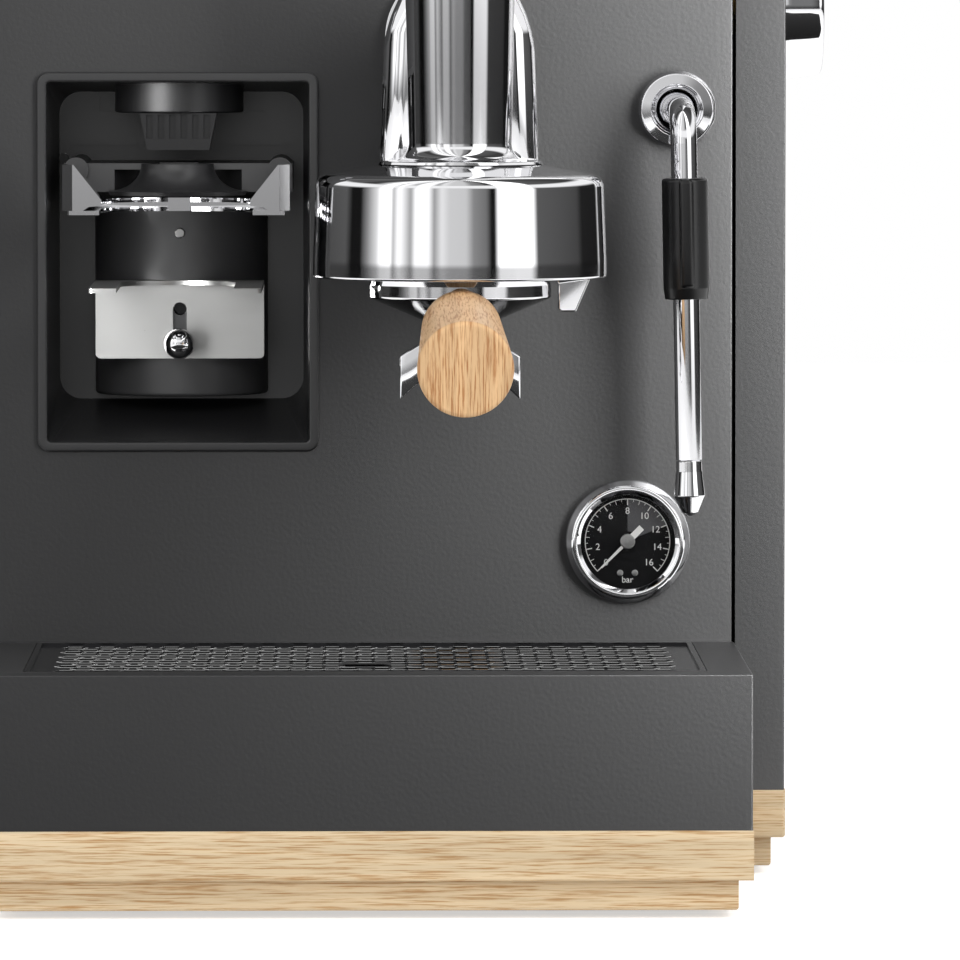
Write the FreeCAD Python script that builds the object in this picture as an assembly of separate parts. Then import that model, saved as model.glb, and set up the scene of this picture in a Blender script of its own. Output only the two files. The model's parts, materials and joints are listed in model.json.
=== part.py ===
"""Espresso machine with a built-in grinder, every piece its own solid, in millimetres.

Frame: +Z up, +X to the right of someone facing the machine, +Y towards its rear.
The origin lies on the counter, below the centre of the wooden base.
"""
import FreeCAD, Part

import math
import os

os.makedirs("parts", exist_ok=True)
V = FreeCAD.Vector

# Wooden base: two boards, the front section as wide as the drip tray
FOOT_HEIGHT = 3.0
FOOT_RADIUS = 14.0
FOOT_INSET = 46.0
LOWER_BOARD = 12.0
UPPER_BOARD = 19.4
BOARD_STEP = 5.6
BOARD_ROUND = 1.4
BASE_DEPTH = 440.0
BASE_REAR_HALF = 170.0
BASE_FRONT_HALF = 149.4
BASE_TOP = FOOT_HEIGHT + LOWER_BOARD + UPPER_BOARD
BASE_FRONT_Y = -BASE_DEPTH / 2
BASE_REAR_Y = BASE_DEPTH / 2

# Casing of folded sheet around the works
TRAY_DEPTH = 159.0
PANEL_Y = BASE_FRONT_Y + 0.4 + TRAY_DEPTH
BODY_REAR_Y = BASE_REAR_Y - 1.0
BODY_TOP = 405.0
SHEET = 2.0
BODY_HALF = 169.5
FRONT_HALF = 148.2
SEAM = 1.3
EDGE_ROUND = 0.7
REAR_RETURN = 14.0

# Drip tray and grate
TRAY_HALF = 149.0
TRAY_HEIGHT = 60.2
TRAY_GAP = 0.4
TRAY_WALL = 2.5
TRAY_MARGIN = 17.2
GRATE_REAR_GAP = 3.0
GRATE_THICK = 1.6
GRATE_RIM = 2.2
GRATE_RIM_HEIGHT = 2.6
GRATE_PLAY = 0.3
LEDGE = 5.0
HOLE_PITCH = 12.9
HOLE_ACROSS = 8.6
HOLE_ROWS = 11
HOLES_PER_ROW = 19
FINGER_SLOT = (18.4, 9.0)
FINGER_SLOT_ROW = 2.6
TRAY_TOP = BASE_TOP + TRAY_HEIGHT

# Grinder bay in the front panel
BAY_X = -74.9
BAY_WIDTH = 105.2
BAY_BOTTOM = 175.6
BAY_TOP = 320.2
BAY_RIM = 4.0
BAY_RIM_PROUD = 2.0
BAY_DEPTH = 70.0
BAY_WALL = 2.0
BAY_BACK_WIDTH = 100.0
BAY_BACK_BOTTOM = 189.6
BAY_BACK_TOP = 315.6
BAY_BACK_ROUND = 9.0

# Column at the back of the bay with the two forks
COLUMN_RADIUS = 35.4
COLUMN_BOTTOM = 192.0
PIN_RADIUS = 2.1
PIN_Z = 258.6
PIN_PROUD = 1.8
PIN_TRAVEL = 1.5
FORK_Y = PANEL_Y - 4.0
FORK_FRONT = 36.0
FORK_HALF = 45.2
FORK_GAP = 29.5
FORK_BOTTOM = 267.8
FORK_LIP = 1.7
FORK_HEIGHT = 5.4
FORK_LUG = 9.0
WING_TOP = 287.8
WING_DEPTH = 15.0
WING_CHAMFER = 4.2
REST_TOP = 239.4
REST_SHEET = 1.8
REST_HALF = 34.2
REST_GAP = 23.2
REST_REACH = 60.0
REST_PLATE_BOTTOM = 207.7
REST_PLAY = 0.3
KNOB_Z = 214.1
KNOB_RADIUS = 6.2
KNOB_STEM = 2.5
KNOB_REACH = 10.6
SLOT_HALF = 2.8
SLOT_TOP = 230.5

# Outlet of the grinder in the bay
HOOD_RADIUS = 26.0
HOOD_Y = PANEL_Y + 32.0
HOOD_BOTTOM = 307.6
CHUTE_BOTTOM = 292.8
CHUTE_TOP_WIDTH = 31.0
CHUTE_LOW_WIDTH = 25.0
CHUTE_DEPTH = 16.0
CHUTE_Y = HOOD_Y - 16.0
CHUTE_WALL = 2.2
CHUTE_BORE = 5.4
CHUTE_SLOTS = 6
CHUTE_SLOT = 2.6
CHUTE_SLOT_PITCH = 4.6
CHUTE_SLOT_BOTTOM = 297.4
FUNNEL_TOP = 287.5
FUNNEL_LOW = 275.0
FUNNEL_NECK = 14.5
FUNNEL_MOUTH = 28.0
FUNNEL_HALF = 46.0
BOSS_RADIUS = 5.0
SENSOR_RADIUS = 1.9
SENSOR_X = 48.2
SENSOR_Z = 288.4
BAY_SLOT_TOP = 293.6

# Group with bell, neck and lock ring
GROUP_X = 37.4
GROUP_Y = PANEL_Y - 80.0
BELL_LOW = 244.7
BELL_SHOULDER = 284.4
BELL_TOP = 289.0
BELL_LOW_RADIUS = 57.7
BELL_TOP_RADIUS = 56.4
BELL_WALL = 2.0
BELL_HOLE = 31.0
NECK_FOOT = 32.4
NECK_LOW_RADIUS = 20.2
NECK_TOP_RADIUS = 21.6
NECK_TOP = 366.0
WING_LOW_HALF = 32.4
WING_HIGH_HALF = 29.6
WING_SHOULDER = NECK_TOP - 25.0
WING_FRONT = 14.0
WING_BACK = 46.0
ARM_RADIUS = 20.0
ARM_Z = 338.0
ARM_FLANGE = 29.0
SPIGOT_RADIUS = 8.0
NECK_DOME = 10.0
CORE_BOTTOM = 256.0
LOCK_INNER = 36.6
LOCK_CHANNEL = 41.4
LOCK_LEDGE = 3.4
LOCK_LOW = 241.8
GASKET_THICK = 5.6

# Portafilter, turned in from the left and locked with the handle to the front
FILTER_RADIUS = 35.2
FILTER_LOW = 238.4
FILTER_TOP = 249.0
FILTER_INNER = 30.6
EAR_RADIUS = 40.6
EAR_THICK = 3.0
EAR_ANGLE = 44.0
BOWL_BOTTOM = 227.4
BASKET_RADIUS = 29.2
BASKET_SHEET = 0.7
SPOUT_LOW = 196.7
SPOUT_HALF = 23.6
SPOUT_DEPTH = 17.0
SPOUT_WALL = 1.6
HANDLE_START = 44.0
HANDLE_LENGTH = 115.0
HANDLE_START_Z = 225.8
HANDLE_DROP_DEG = 5.2
HANDLE_THIN = 15.4
HANDLE_THICK = 18.2

# Steam wand on its ball
WAND_X = 125.5
WAND_Z = 309.2
WAND_FLANGE = 15.6
WAND_FLANGE_PROUD = 8.0
WAND_BALL = 8.0
BALL_Y = PANEL_Y - 1.0
WAND_SLEEVE = 11.0
WAND_MOUTH = 6.9
WAND_RADIUS = 5.3
WAND_REACH = 40.0
WAND_BEND = 13.0
WAND_LEAN_DEG = 1.05
WAND_YAW_DEG = 1.7
GRIP_RADIUS = 9.1
GRIP_TOP = 282.5
GRIP_BOTTOM = 233.7
TIP_TOP = 170.5
TIP_WIDE_Z = 157.0
TIP_BOTTOM = 149.9
TIP_RADIUS = 6.4

# Pressure gauge
GAUGE_X = 106.0
GAUGE_Z = 135.3
GAUGE_RADIUS = 25.1
GAUGE_PROUD = 7.5
GAUGE_CASE = 20.3
DIAL_RADIUS = 19.2
NEEDLE_LENGTH = 15.0
NEEDLE_REST_DEG = 225.0

# Steam valve and its knob on the right side
VALVE_Y = PANEL_Y + 70.0
VALVE_Z = BODY_TOP - 54.5
VALVE_RADIUS = 12.0
SPINDLE_RADIUS = 4.0
STEAM_KNOB_RADIUS = 30.2
STEAM_KNOB_TIP = 27.8
STEAM_KNOB_LENGTH = 17.6

# Grinder works and bean hopper
WORKS_HEIGHT = BODY_TOP - BAY_TOP - BAY_WALL
GEARBOX_HEIGHT = 0.2 * WORKS_HEIGHT
BURR_Y = PANEL_Y + 62.0
BURR_HOUSING = 37.0
BURR_HEIGHT = 0.32 * WORKS_HEIGHT
MOTOR_RADIUS = 32.0
MOTOR_Y = PANEL_Y + 122.0
MOTOR_BOTTOM = 200.0
HOPPER_RADIUS = 46.0
HOPPER_WALL = 2.5
HOPPER_LID = 12.0

# Boiler, pump and water tank
BOILER_X = 70.0
BOILER_Z = BODY_TOP - 80.0
BOILER_RADIUS = 45.0
BOILER_GAP = 45.0
BOILER_FRONT = PANEL_Y + BOILER_GAP
BOILER_LENGTH = 140.0
BOILER_WALL = 1.6
PUMP_X = -60.0
PUMP_GAP = 115.0
PUMP_RADIUS = 22.0
PUMP_LENGTH = 100.0
TANK_LEFT = -10.0
TANK_RIGHT = 150.0
TANK_X = (TANK_LEFT, TANK_RIGHT)
TANK_GAP = 200.0
TANK_DEPTH = 66.0
TANK_Y = (PANEL_Y + TANK_GAP, PANEL_Y + TANK_GAP + TANK_DEPTH)
TANK_WALL = 2.5
LID_THICK = 3.0
LID_PLAY = 0.6

# Push buttons above the bay, and the power parts on the rear
BUTTON_X = (-89.9, -59.9)
BUTTON_Z = BODY_TOP - 33.0
BUTTON_RADIUS = 7.0
BUTTON_PROUD = 2.5
INLET_X = -115.0
SWITCH_X = -84.0
POWER_Z = 85.0


def block(x, y, z):
    return Part.makeBox(x[1] - x[0], y[1] - y[0], z[1] - z[0], V(x[0], y[0], z[0]))


def rod(radius, start, along, length):
    return Part.makeCylinder(radius, length, V(*start), V(*along))


def tube(outer, inner, start, along, length):
    return rod(outer, start, along, length).cut(rod(inner, start, along, length))


def face(points):
    return Part.Face(Part.makePolygon([V(*p) for p in points] + [V(*points[0])]))


def plan_prism(points, z0, z1):
    """Outline in X and Y, raised from z0 to z1."""
    return face([(x, y, z0) for x, y in points]).extrude(V(0, 0, z1 - z0))


def front_prism(points, y0, y1):
    """Outline in X and Z as seen from the front, carried back from y0 to y1."""
    return face([(x, y0, z) for x, z in points]).extrude(V(0, y1 - y0, 0))


def turned(profile, x, y):
    """Closed outline of radius and height, turned about a vertical axis."""
    return face([(x + r, y, z) for r, z in profile]).revolve(V(x, y, 0), V(0, 0, 1), 360)


def turned_front(profile, x, z):
    """Closed outline of radius and Y, turned about an axis that points to the user."""
    return face([(x + r, y, z) for r, y in profile]).revolve(V(x, 0, z), V(0, 1, 0), 360)


def round_rectangle(x, z, y, radius):
    """Wire of a rounded rectangle in the X and Z plane at y."""
    corners = [(x[1], z[0], -90), (x[1], z[1], 0), (x[0], z[1], 90), (x[0], z[0], 180)]
    edges = []
    last = None
    for cx, cz, start in corners:
        mx = cx - math.copysign(radius, cx - x[0] - 0.5 * (x[1] - x[0]))
        mz = cz - math.copysign(radius, cz - z[0] - 0.5 * (z[1] - z[0]))
        on_arc = []
        for step in (0, 45, 90):
            angle = math.radians(start + step)
            on_arc.append(V(mx + radius * math.cos(angle), y, mz + radius * math.sin(angle)))
        if last is not None:
            edges.append(Part.makeLine(last, on_arc[0]))
        edges.append(Part.Arc(*on_arc).toShape())
        last = on_arc[2]
    edges.append(Part.makeLine(last, edges[0].Vertexes[0].Point))
    return Part.Wire(edges)


def round_plate(x, z, y0, y1, radius):
    return Part.Face(round_rectangle(x, z, y0, radius)).extrude(V(0, y1 - y0, 0))


def edges_where(shape, test):
    """Edges whose middle point passes the test."""
    found = []
    for edge in shape.Edges:
        middle = edge.valueAt(0.5 * (edge.FirstParameter + edge.LastParameter))
        if test(middle):
            found.append(edge)
    return found


def near(a, b):
    return abs(a - b) < 1e-4


def pipe(points, radius, bend):
    """Round bar along a path of straight runs joined by bends."""
    corners = [V(*p) for p in points]
    edges = []
    start = corners[0]
    for i in range(1, len(corners) - 1):
        into = (corners[i] - corners[i - 1]).normalize()
        out = (corners[i + 1] - corners[i]).normalize()
        reach = bend * math.tan(0.5 * into.getAngle(out))
        a = corners[i] - into * reach
        b = corners[i] + out * reach
        inward = (out - into).normalize()
        middle = corners[i] + inward * (math.hypot(bend, reach) - bend)
        edges.append(Part.makeLine(start, a))
        edges.append(Part.Arc(a, middle, b).toShape())
        start = b
    edges.append(Part.makeLine(start, corners[-1]))
    path = Part.Wire(edges)
    first = (corners[1] - corners[0]).normalize()
    section = Part.Wire(Part.makeCircle(radius, corners[0], first))
    return path.makePipeShell([section], True, False)


def base_plan(inset):
    front = BASE_FRONT_HALF - inset
    rear = BASE_REAR_HALF - inset
    y0 = BASE_FRONT_Y + inset
    step = PANEL_Y + inset
    y1 = BASE_REAR_Y - inset
    half = [(front, y0), (front, step), (rear, step), (rear, y1)]
    return half + [(-x, y) for x, y in reversed(half)]


def base_upper():
    board = plan_prism(base_plan(0), FOOT_HEIGHT + LOWER_BOARD, BASE_TOP)
    rounded = edges_where(board, lambda p: p.z < BASE_TOP - 0.1 and not near(abs(p.x), BASE_FRONT_HALF))
    return board.makeFillet(BOARD_ROUND, [e for e in rounded if not near(e.Length, 0)])


def base_lower():
    board = plan_prism(base_plan(BOARD_STEP), FOOT_HEIGHT, FOOT_HEIGHT + LOWER_BOARD)
    low = edges_where(board, lambda p: near(p.z, FOOT_HEIGHT))
    return board.makeFillet(BOARD_ROUND, low)


def feet():
    front = BASE_FRONT_Y + BOARD_STEP + FOOT_INSET
    rear = BASE_REAR_Y - BOARD_STEP - FOOT_INSET
    reach = BASE_FRONT_HALF - BOARD_STEP - FOOT_INSET
    spots = [(side * reach, y) for side in (-1, 1) for y in (front, rear)]
    # The fifth foot carries the middle of the boards, and its face is the origin
    spots.append((0, 0))
    return Part.makeCompound([rod(FOOT_RADIUS, (x, y, 0), (0, 0, 1), FOOT_HEIGHT) for x, y in spots])


def chassis():
    y = (PANEL_Y + SHEET, BODY_REAR_Y - 2 * SHEET)
    half = BODY_HALF - SHEET
    plate = block((-half, half), y, (BASE_TOP, BASE_TOP + SHEET))
    return plate


def front_panel():
    z = (BASE_TOP, BODY_TOP - SHEET)
    panel = block((-FRONT_HALF, FRONT_HALF), (PANEL_Y, PANEL_Y + SHEET), z)
    panel = panel.makeFillet(EDGE_ROUND, edges_where(panel, lambda p: near(p.y, PANEL_Y)))
    y = (PANEL_Y - 1, PANEL_Y + SHEET + 1)
    panel = panel.cut(round_plate(*bay_cutout(0.2), *y, 2.5))
    holes = [(GROUP_X, ARM_Z, SPIGOT_RADIUS + 0.3), (WAND_X, WAND_Z, WAND_SLEEVE + 0.2)]
    holes.append((GAUGE_X, GAUGE_Z, GAUGE_CASE + 0.2))
    holes += [(x, BUTTON_Z, BUTTON_RADIUS + 0.25) for x in BUTTON_X]
    for x, z, radius in holes:
        panel = panel.cut(rod(radius, (x, y[0], z), (0, 1, 0), y[1] - y[0]))
    return panel


def side_panel(side):
    inner = FRONT_HALF + SEAM
    y0 = PANEL_Y
    y1 = BODY_REAR_Y
    outline = [(inner, y0), (BODY_HALF, y0), (BODY_HALF, y1), (BODY_HALF - REAR_RETURN, y1)]
    outline += [(BODY_HALF - REAR_RETURN, y1 - SHEET), (BODY_HALF - SHEET, y1 - SHEET)]
    outline += [(BODY_HALF - SHEET, y0 + SHEET), (inner, y0 + SHEET)]
    panel = plan_prism([(side * x, y) for x, y in outline], BASE_TOP, BODY_TOP - SHEET)
    outer = edges_where(panel, lambda p: near(abs(p.x), BODY_HALF))
    upright = [edge for edge in outer if near(edge.CenterOfMass.y, y0) or near(edge.CenterOfMass.y, y1)]
    panel = panel.makeFillet(EDGE_ROUND, upright)
    if side > 0:
        hole = rod(SPINDLE_RADIUS + 0.5, (BODY_HALF - 2 * SHEET, VALVE_Y, VALVE_Z), (1, 0, 0),
                   4 * SHEET)
        panel = panel.cut(hole)
    return panel


def top_panel():
    z = (BODY_TOP - SHEET, BODY_TOP)
    panel = block((-BODY_HALF, BODY_HALF), (PANEL_Y, BODY_REAR_Y), z)
    panel = panel.makeFillet(EDGE_ROUND, edges_where(panel, lambda p: p.z > z[0] + 0.1))
    through = (z[0] - 1, z[1] + 1)
    panel = panel.cut(rod(HOPPER_RADIUS + 0.4, (BAY_X, BURR_Y, through[0]), (0, 0, 1), 4))
    lid_x = (TANK_X[0] - LID_PLAY, TANK_X[1] + LID_PLAY)
    lid_y = (TANK_Y[0] - LID_PLAY, TANK_Y[1] + LID_PLAY)
    panel = panel.cut(block(lid_x, lid_y, through))
    for i in range(7):
        x = BOILER_X - 42 + 14 * i
        slot = block((x - 2, x + 2), (PANEL_Y + 75, PANEL_Y + 150), through)
        upright = edges_where(slot, lambda p: near(p.z, BODY_TOP - 0.5 * SHEET))
        panel = panel.cut(slot.makeFillet(1.9, upright))
    return panel


def rear_panel():
    y = (BODY_REAR_Y - 2 * SHEET, BODY_REAR_Y - SHEET)
    half = BODY_HALF - SHEET - 0.3
    panel = block((-half, half), y, (BASE_TOP, BODY_TOP - SHEET))
    through = (y[0] - 1, y[1] + 1)
    for i in range(12):
        z = 190 + 14 * i
        for x in (-95, 65):
            slot = block((x - 35, x + 35), through, (z - 2, z + 2))
            panel = panel.cut(slot)
    return panel.cut(block((INLET_X - 16.4, SWITCH_X + 11), through, (POWER_Z - 14, POWER_Z + 14)))


def drip_tray():
    y = (PANEL_Y - TRAY_DEPTH, PANEL_Y - TRAY_GAP)
    tray = block((-TRAY_HALF, TRAY_HALF), y, (BASE_TOP, TRAY_TOP))
    tray = tray.makeFillet(EDGE_ROUND, edges_where(tray, lambda p: p.z > BASE_TOP + 0.1))
    seat_x, seat_y = grate_span(GRATE_PLAY)
    step_x, step_y = grate_span(-LEDGE)
    room_x = (-TRAY_HALF + TRAY_WALL, TRAY_HALF - TRAY_WALL)
    room_y = (y[0] + TRAY_WALL, y[1] - TRAY_WALL)
    seat = TRAY_TOP - GRATE_RIM_HEIGHT
    tray = tray.cut(block(room_x, room_y, (BASE_TOP + TRAY_WALL, seat - 2 * TRAY_WALL)))
    tray = tray.cut(block(step_x, step_y, (BASE_TOP + 2 * TRAY_WALL, TRAY_TOP)))
    return tray.cut(block(seat_x, seat_y, (seat, TRAY_TOP + 1)))


def grate_span(play):
    half = TRAY_HALF - TRAY_MARGIN + play
    front = PANEL_Y - TRAY_DEPTH + TRAY_MARGIN - play
    rear = PANEL_Y - GRATE_REAR_GAP + min(play, TRAY_GAP)
    return (-half, half), (front, rear)


def drip_grate():
    x, y = grate_span(0)
    low = TRAY_TOP - GRATE_RIM_HEIGHT
    plate_top = low + GRATE_THICK
    corners = [(x[0], y[0]), (x[1], y[0]), (x[1], y[1]), (x[0], y[1]), (x[0], y[0])]
    outline = Part.makePolygon([V(cx, cy, low) for cx, cy in corners])
    middle = 0.5 * (y[0] + y[1])
    row_pitch = HOLE_PITCH * math.sqrt(0.75)
    flat = HOLE_ACROSS / math.sqrt(3)
    slot_y = middle - FINGER_SLOT_ROW * row_pitch
    wires = [outline]
    for row in range(HOLE_ROWS):
        count = HOLES_PER_ROW - row % 2
        hole_y = middle + (row - 0.5 * (HOLE_ROWS - 1)) * row_pitch
        for i in range(count):
            hole_x = (i - 0.5 * (count - 1)) * HOLE_PITCH
            in_slot = abs(hole_y - slot_y) < row_pitch and abs(hole_x) < 0.6 * HOLE_PITCH
            if in_slot:
                continue
            corners = []
            for k in range(7):
                angle = math.radians(-60 * k)
                corners.append(V(hole_x + flat * math.cos(angle), hole_y + flat * math.sin(angle), low))
            wires.append(Part.makePolygon(corners))
    half = (0.5 * FINGER_SLOT[0], 0.5 * FINGER_SLOT[1])
    slot = [(-half[0], 0.4), (-half[0], -0.4), (-half[0] + 2, -1), (half[0] - 2, -1)]
    slot += [(half[0], -0.4), (half[0], 0.4), (half[0] - 2, 1), (-half[0] + 2, 1)]
    corners = [V(px, slot_y + part * half[1], low) for px, part in slot + slot[:1]]
    wires.append(Part.makePolygon(corners))
    plate = Part.makeFace(wires, "Part::FaceMakerBullseye").extrude(V(0, 0, GRATE_THICK))
    frame = block(x, y, (low, TRAY_TOP))
    inside = block((x[0] + GRATE_RIM, x[1] - GRATE_RIM), (y[0] + GRATE_RIM, y[1] - GRATE_RIM),
                   (low - 1, TRAY_TOP + 1))
    frame = frame.cut(inside)
    return plate.fuse(frame).removeSplitter()


def bay_cutout(play):
    side = 0.5 * BAY_WIDTH + BAY_WALL + play
    return (BAY_X - side, BAY_X + side), (BAY_BOTTOM - BAY_WALL - play, BAY_TOP + BAY_WALL + play)


def bay_liner():
    x, z = bay_cutout(0)
    front = PANEL_Y - BAY_RIM_PROUD
    back = PANEL_Y + BAY_DEPTH
    shell = round_plate(x, z, PANEL_Y - 0.5, back + BAY_WALL, 2.0)
    rim_x = (BAY_X - 0.5 * BAY_WIDTH - BAY_RIM, BAY_X + 0.5 * BAY_WIDTH + BAY_RIM)
    rim_z = (BAY_BOTTOM - BAY_RIM, BAY_TOP + BAY_RIM)
    rim = round_plate(rim_x, rim_z, front, PANEL_Y, 5.0)
    mouth_x = (BAY_X - 0.5 * BAY_WIDTH, BAY_X + 0.5 * BAY_WIDTH)
    mouth = round_rectangle(mouth_x, (BAY_BOTTOM, BAY_TOP), front, 1.6)
    rim = rim.cut(Part.Face(mouth).extrude(V(0, BAY_RIM_PROUD, 0)))
    rim = rim.makeFillet(0.95, edges_where(rim, lambda p: near(p.y, front)))
    back_x = (BAY_X - 0.5 * BAY_BACK_WIDTH, BAY_X + 0.5 * BAY_BACK_WIDTH)
    end = round_rectangle(back_x, (BAY_BACK_BOTTOM, BAY_BACK_TOP), back, BAY_BACK_ROUND)
    start = round_rectangle(mouth_x, (BAY_BOTTOM, BAY_TOP), PANEL_Y - 0.5, 1.6)
    room = Part.makeLoft([start, end], True, True)
    liner = shell.cut(room).fuse(rim).removeSplitter()
    liner = liner.cut(rod(HOOD_RADIUS + 0.3, (BAY_X, HOOD_Y, HOOD_BOTTOM), (0, 0, 1), 40))
    window = block((BAY_X - 33.5, BAY_X + 33.5), (HOOD_Y, back + 0.5 * BAY_WALL),
                   (HOOD_BOTTOM - 0.2, BAY_BACK_TOP))
    slot = block((BAY_X - FUNNEL_HALF, BAY_X + FUNNEL_HALF), (back - 1, back + 0.5 * BAY_WALL),
                 (FUNNEL_TOP - 4, BAY_SLOT_TOP))
    sensor = rod(SENSOR_RADIUS + 0.1, (BAY_X - SENSOR_X, back - 2, SENSOR_Z), (0, 1, 0),
                 2 * BAY_WALL + 2)
    return liner.cut(window).cut(slot).cut(sensor)


def grinder_column():
    back = PANEL_Y + BAY_DEPTH
    column = rod(COLUMN_RADIUS, (BAY_X, back, COLUMN_BOTTOM), (0, 0, 1), FORK_BOTTOM - COLUMN_BOTTOM)
    column = column.makeFillet(1.5, edges_where(column, lambda p: near(p.z, COLUMN_BOTTOM)))
    far = block((BAY_X - 50, BAY_X + 50), (back, back + 50), (COLUMN_BOTTOM - 5, FORK_BOTTOM + 5))
    column = column.cut(far)
    nose = back - COLUMN_RADIUS
    bores = [(PIN_Z, PIN_RADIUS + 0.06, 14.0), (KNOB_Z, KNOB_STEM + 0.06, 20.0)]
    bores.append((SLOT_TOP - SLOT_HALF, KNOB_STEM + 0.06, 16.0))
    for z, radius, depth in bores:
        column = column.cut(rod(radius, (BAY_X, nose - 1, z), (0, 1, 0), depth + 1))
    return column


def grind_pin():
    nose = PANEL_Y + BAY_DEPTH - COLUMN_RADIUS
    pin = rod(PIN_RADIUS, (BAY_X, nose - PIN_PROUD, PIN_Z), (0, 1, 0), PIN_PROUD + 12.0)
    return pin.makeFillet(0.6,
                          edges_where(pin, lambda p: near(p.y, nose - PIN_PROUD) and p.z > PIN_Z - 3))


def fork_layer(z0, z1, play):
    front = FORK_Y - FORK_FRONT
    back = PANEL_Y + BAY_DEPTH - 24.0
    layer = block((BAY_X - FORK_HALF + play, BAY_X + FORK_HALF - play), (front + play, back), (z0, z1))
    gap = FORK_GAP + 0.5 * play
    layer = layer.cut(rod(gap, (BAY_X, FORK_Y, z0 - 1), (0, 0, 1), z1 - z0 + 2))
    return layer.cut(block((BAY_X - gap, BAY_X + gap), (front - 1, FORK_Y), (z0 - 1, z1 + 1)))


def guide_fork():
    top = FORK_BOTTOM + FORK_HEIGHT
    fork = fork_layer(top - FORK_LIP, top, 0).fuse(fork_layer(FORK_BOTTOM, FORK_BOTTOM + FORK_LIP, 2.0))
    arc_y = FORK_Y + FORK_GAP
    lug = block((BAY_X - 0.5 * FORK_LUG, BAY_X + 0.5 * FORK_LUG), (arc_y - 0.4, arc_y + 10),
                (FORK_BOTTOM, top))
    back = PANEL_Y + BAY_DEPTH - 24.0
    spine = block((BAY_X - FORK_HALF + 2, BAY_X + FORK_HALF - 2), (arc_y + 6, back), (FORK_BOTTOM, top))
    fork = fork.fuse([lug, spine])
    front = FORK_Y - FORK_FRONT
    foot = FORK_BOTTOM + FORK_LIP
    for side in (-1, 1):
        outline = [(FORK_HALF, foot), (FORK_HALF, WING_TOP), (FORK_HALF - 4.6, WING_TOP)]
        outline += [(FORK_GAP, top + 0.6), (FORK_GAP, top - FORK_LIP)]
        outline += [(FORK_GAP + 5, top - FORK_LIP - 0.4), (FORK_GAP + 7.5, foot)]
        wing = front_prism([(BAY_X + side * x, z) for x, z in outline], front, front + WING_DEPTH)
        corner = [(FORK_HALF - WING_CHAMFER, front - 0.1), (FORK_HALF + 0.1, front - 0.1),
                  (FORK_HALF + 0.1, front + 6)]
        wing = wing.cut(plan_prism([(BAY_X + side * x, y) for x, y in corner], foot - 5, WING_TOP + 5))
        cut = plan_prism([(BAY_X + side * x, y) for x, y in corner], FORK_BOTTOM - 5, WING_TOP + 5)
        fork = fork.cut(cut).fuse(wing)
    return fork.removeSplitter()


def rest_plate_y():
    back = PANEL_Y + BAY_DEPTH - COLUMN_RADIUS - REST_PLAY
    return back - REST_SHEET, back


def rest_fork():
    y = rest_plate_y()
    x = (BAY_X - REST_HALF, BAY_X + REST_HALF)
    shelf = block(x, (PANEL_Y - REST_REACH, y[1]), (REST_TOP - REST_SHEET, REST_TOP))
    front = edges_where(shelf, lambda p: near(p.y, PANEL_Y - REST_REACH))
    upright = [edge for edge in front if near(edge.CenterOfMass.z, REST_TOP - 0.5 * REST_SHEET)]
    shelf = shelf.makeFillet(1.6, upright)
    gap_y = y[0] - 2.5 - REST_GAP
    shelf = shelf.cut(rod(REST_GAP, (BAY_X, gap_y, REST_TOP - 5), (0, 0, 1), 10))
    gap = block((BAY_X - REST_GAP, BAY_X + REST_GAP), (PANEL_Y - REST_REACH - 1, gap_y),
                (REST_TOP - 5, REST_TOP + 5))
    shelf = shelf.cut(gap)
    plate = round_plate(x, (REST_PLATE_BOTTOM, REST_TOP), *y, 2.0)
    square = block(x, y, (REST_TOP - 6, REST_TOP))
    slot_z = (KNOB_Z - SLOT_HALF - 0.3, SLOT_TOP)
    slot = round_plate((BAY_X - SLOT_HALF, BAY_X + SLOT_HALF), slot_z, y[0] - 1, y[1] + 1,
                       SLOT_HALF - 0.01)
    return plate.fuse([square, shelf]).cut(slot).removeSplitter()


def clamp_knob():
    plate = rest_plate_y()[0] - REST_PLAY
    centre = V(BAY_X, plate - KNOB_REACH, KNOB_Z)
    knob = Part.makeSphere(KNOB_RADIUS, centre)
    collar = rod(4.4, (BAY_X, plate - KNOB_REACH + 3, KNOB_Z), (0, 1, 0), KNOB_REACH - 3)
    stem = rod(KNOB_STEM, (BAY_X, plate - 3, KNOB_Z), (0, 1, 0), 3 + REST_SHEET + 2 * REST_PLAY + 18)
    return knob.fuse([collar, stem])


def chute_hood():
    """Round outlet under the bay's ceiling, bored at a slant to bring the grounds forward."""
    height = BAY_TOP + BAY_WALL - HOOD_BOTTOM
    hood = rod(HOOD_RADIUS, (BAY_X, HOOD_Y, HOOD_BOTTOM), (0, 0, 1), height)
    hood = hood.makeFillet(1.0, edges_where(hood, lambda p: near(p.z, HOOD_BOTTOM)))
    slant = V(0, HOOD_Y - CHUTE_Y, height)
    start = V(BAY_X, CHUTE_Y, HOOD_BOTTOM) - slant * 0.4
    return hood.cut(rod(CHUTE_BORE, start, slant, 1.8 * slant.Length))


def chute_span(low, top, y, z):
    """Four-sided block round the chute's axis, its widths given below and above."""
    wires = []
    for x, height in zip((low, top), z):
        corners = [(x[0], y[0]), (x[1], y[0]), (x[1], y[1]), (x[0], y[1])]
        points = [V(BAY_X + cx, CHUTE_Y + cy, height) for cx, cy in corners]
        wires.append(Part.makePolygon(points + points[:1]))
    return Part.makeLoft(wires, True, True)


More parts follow.
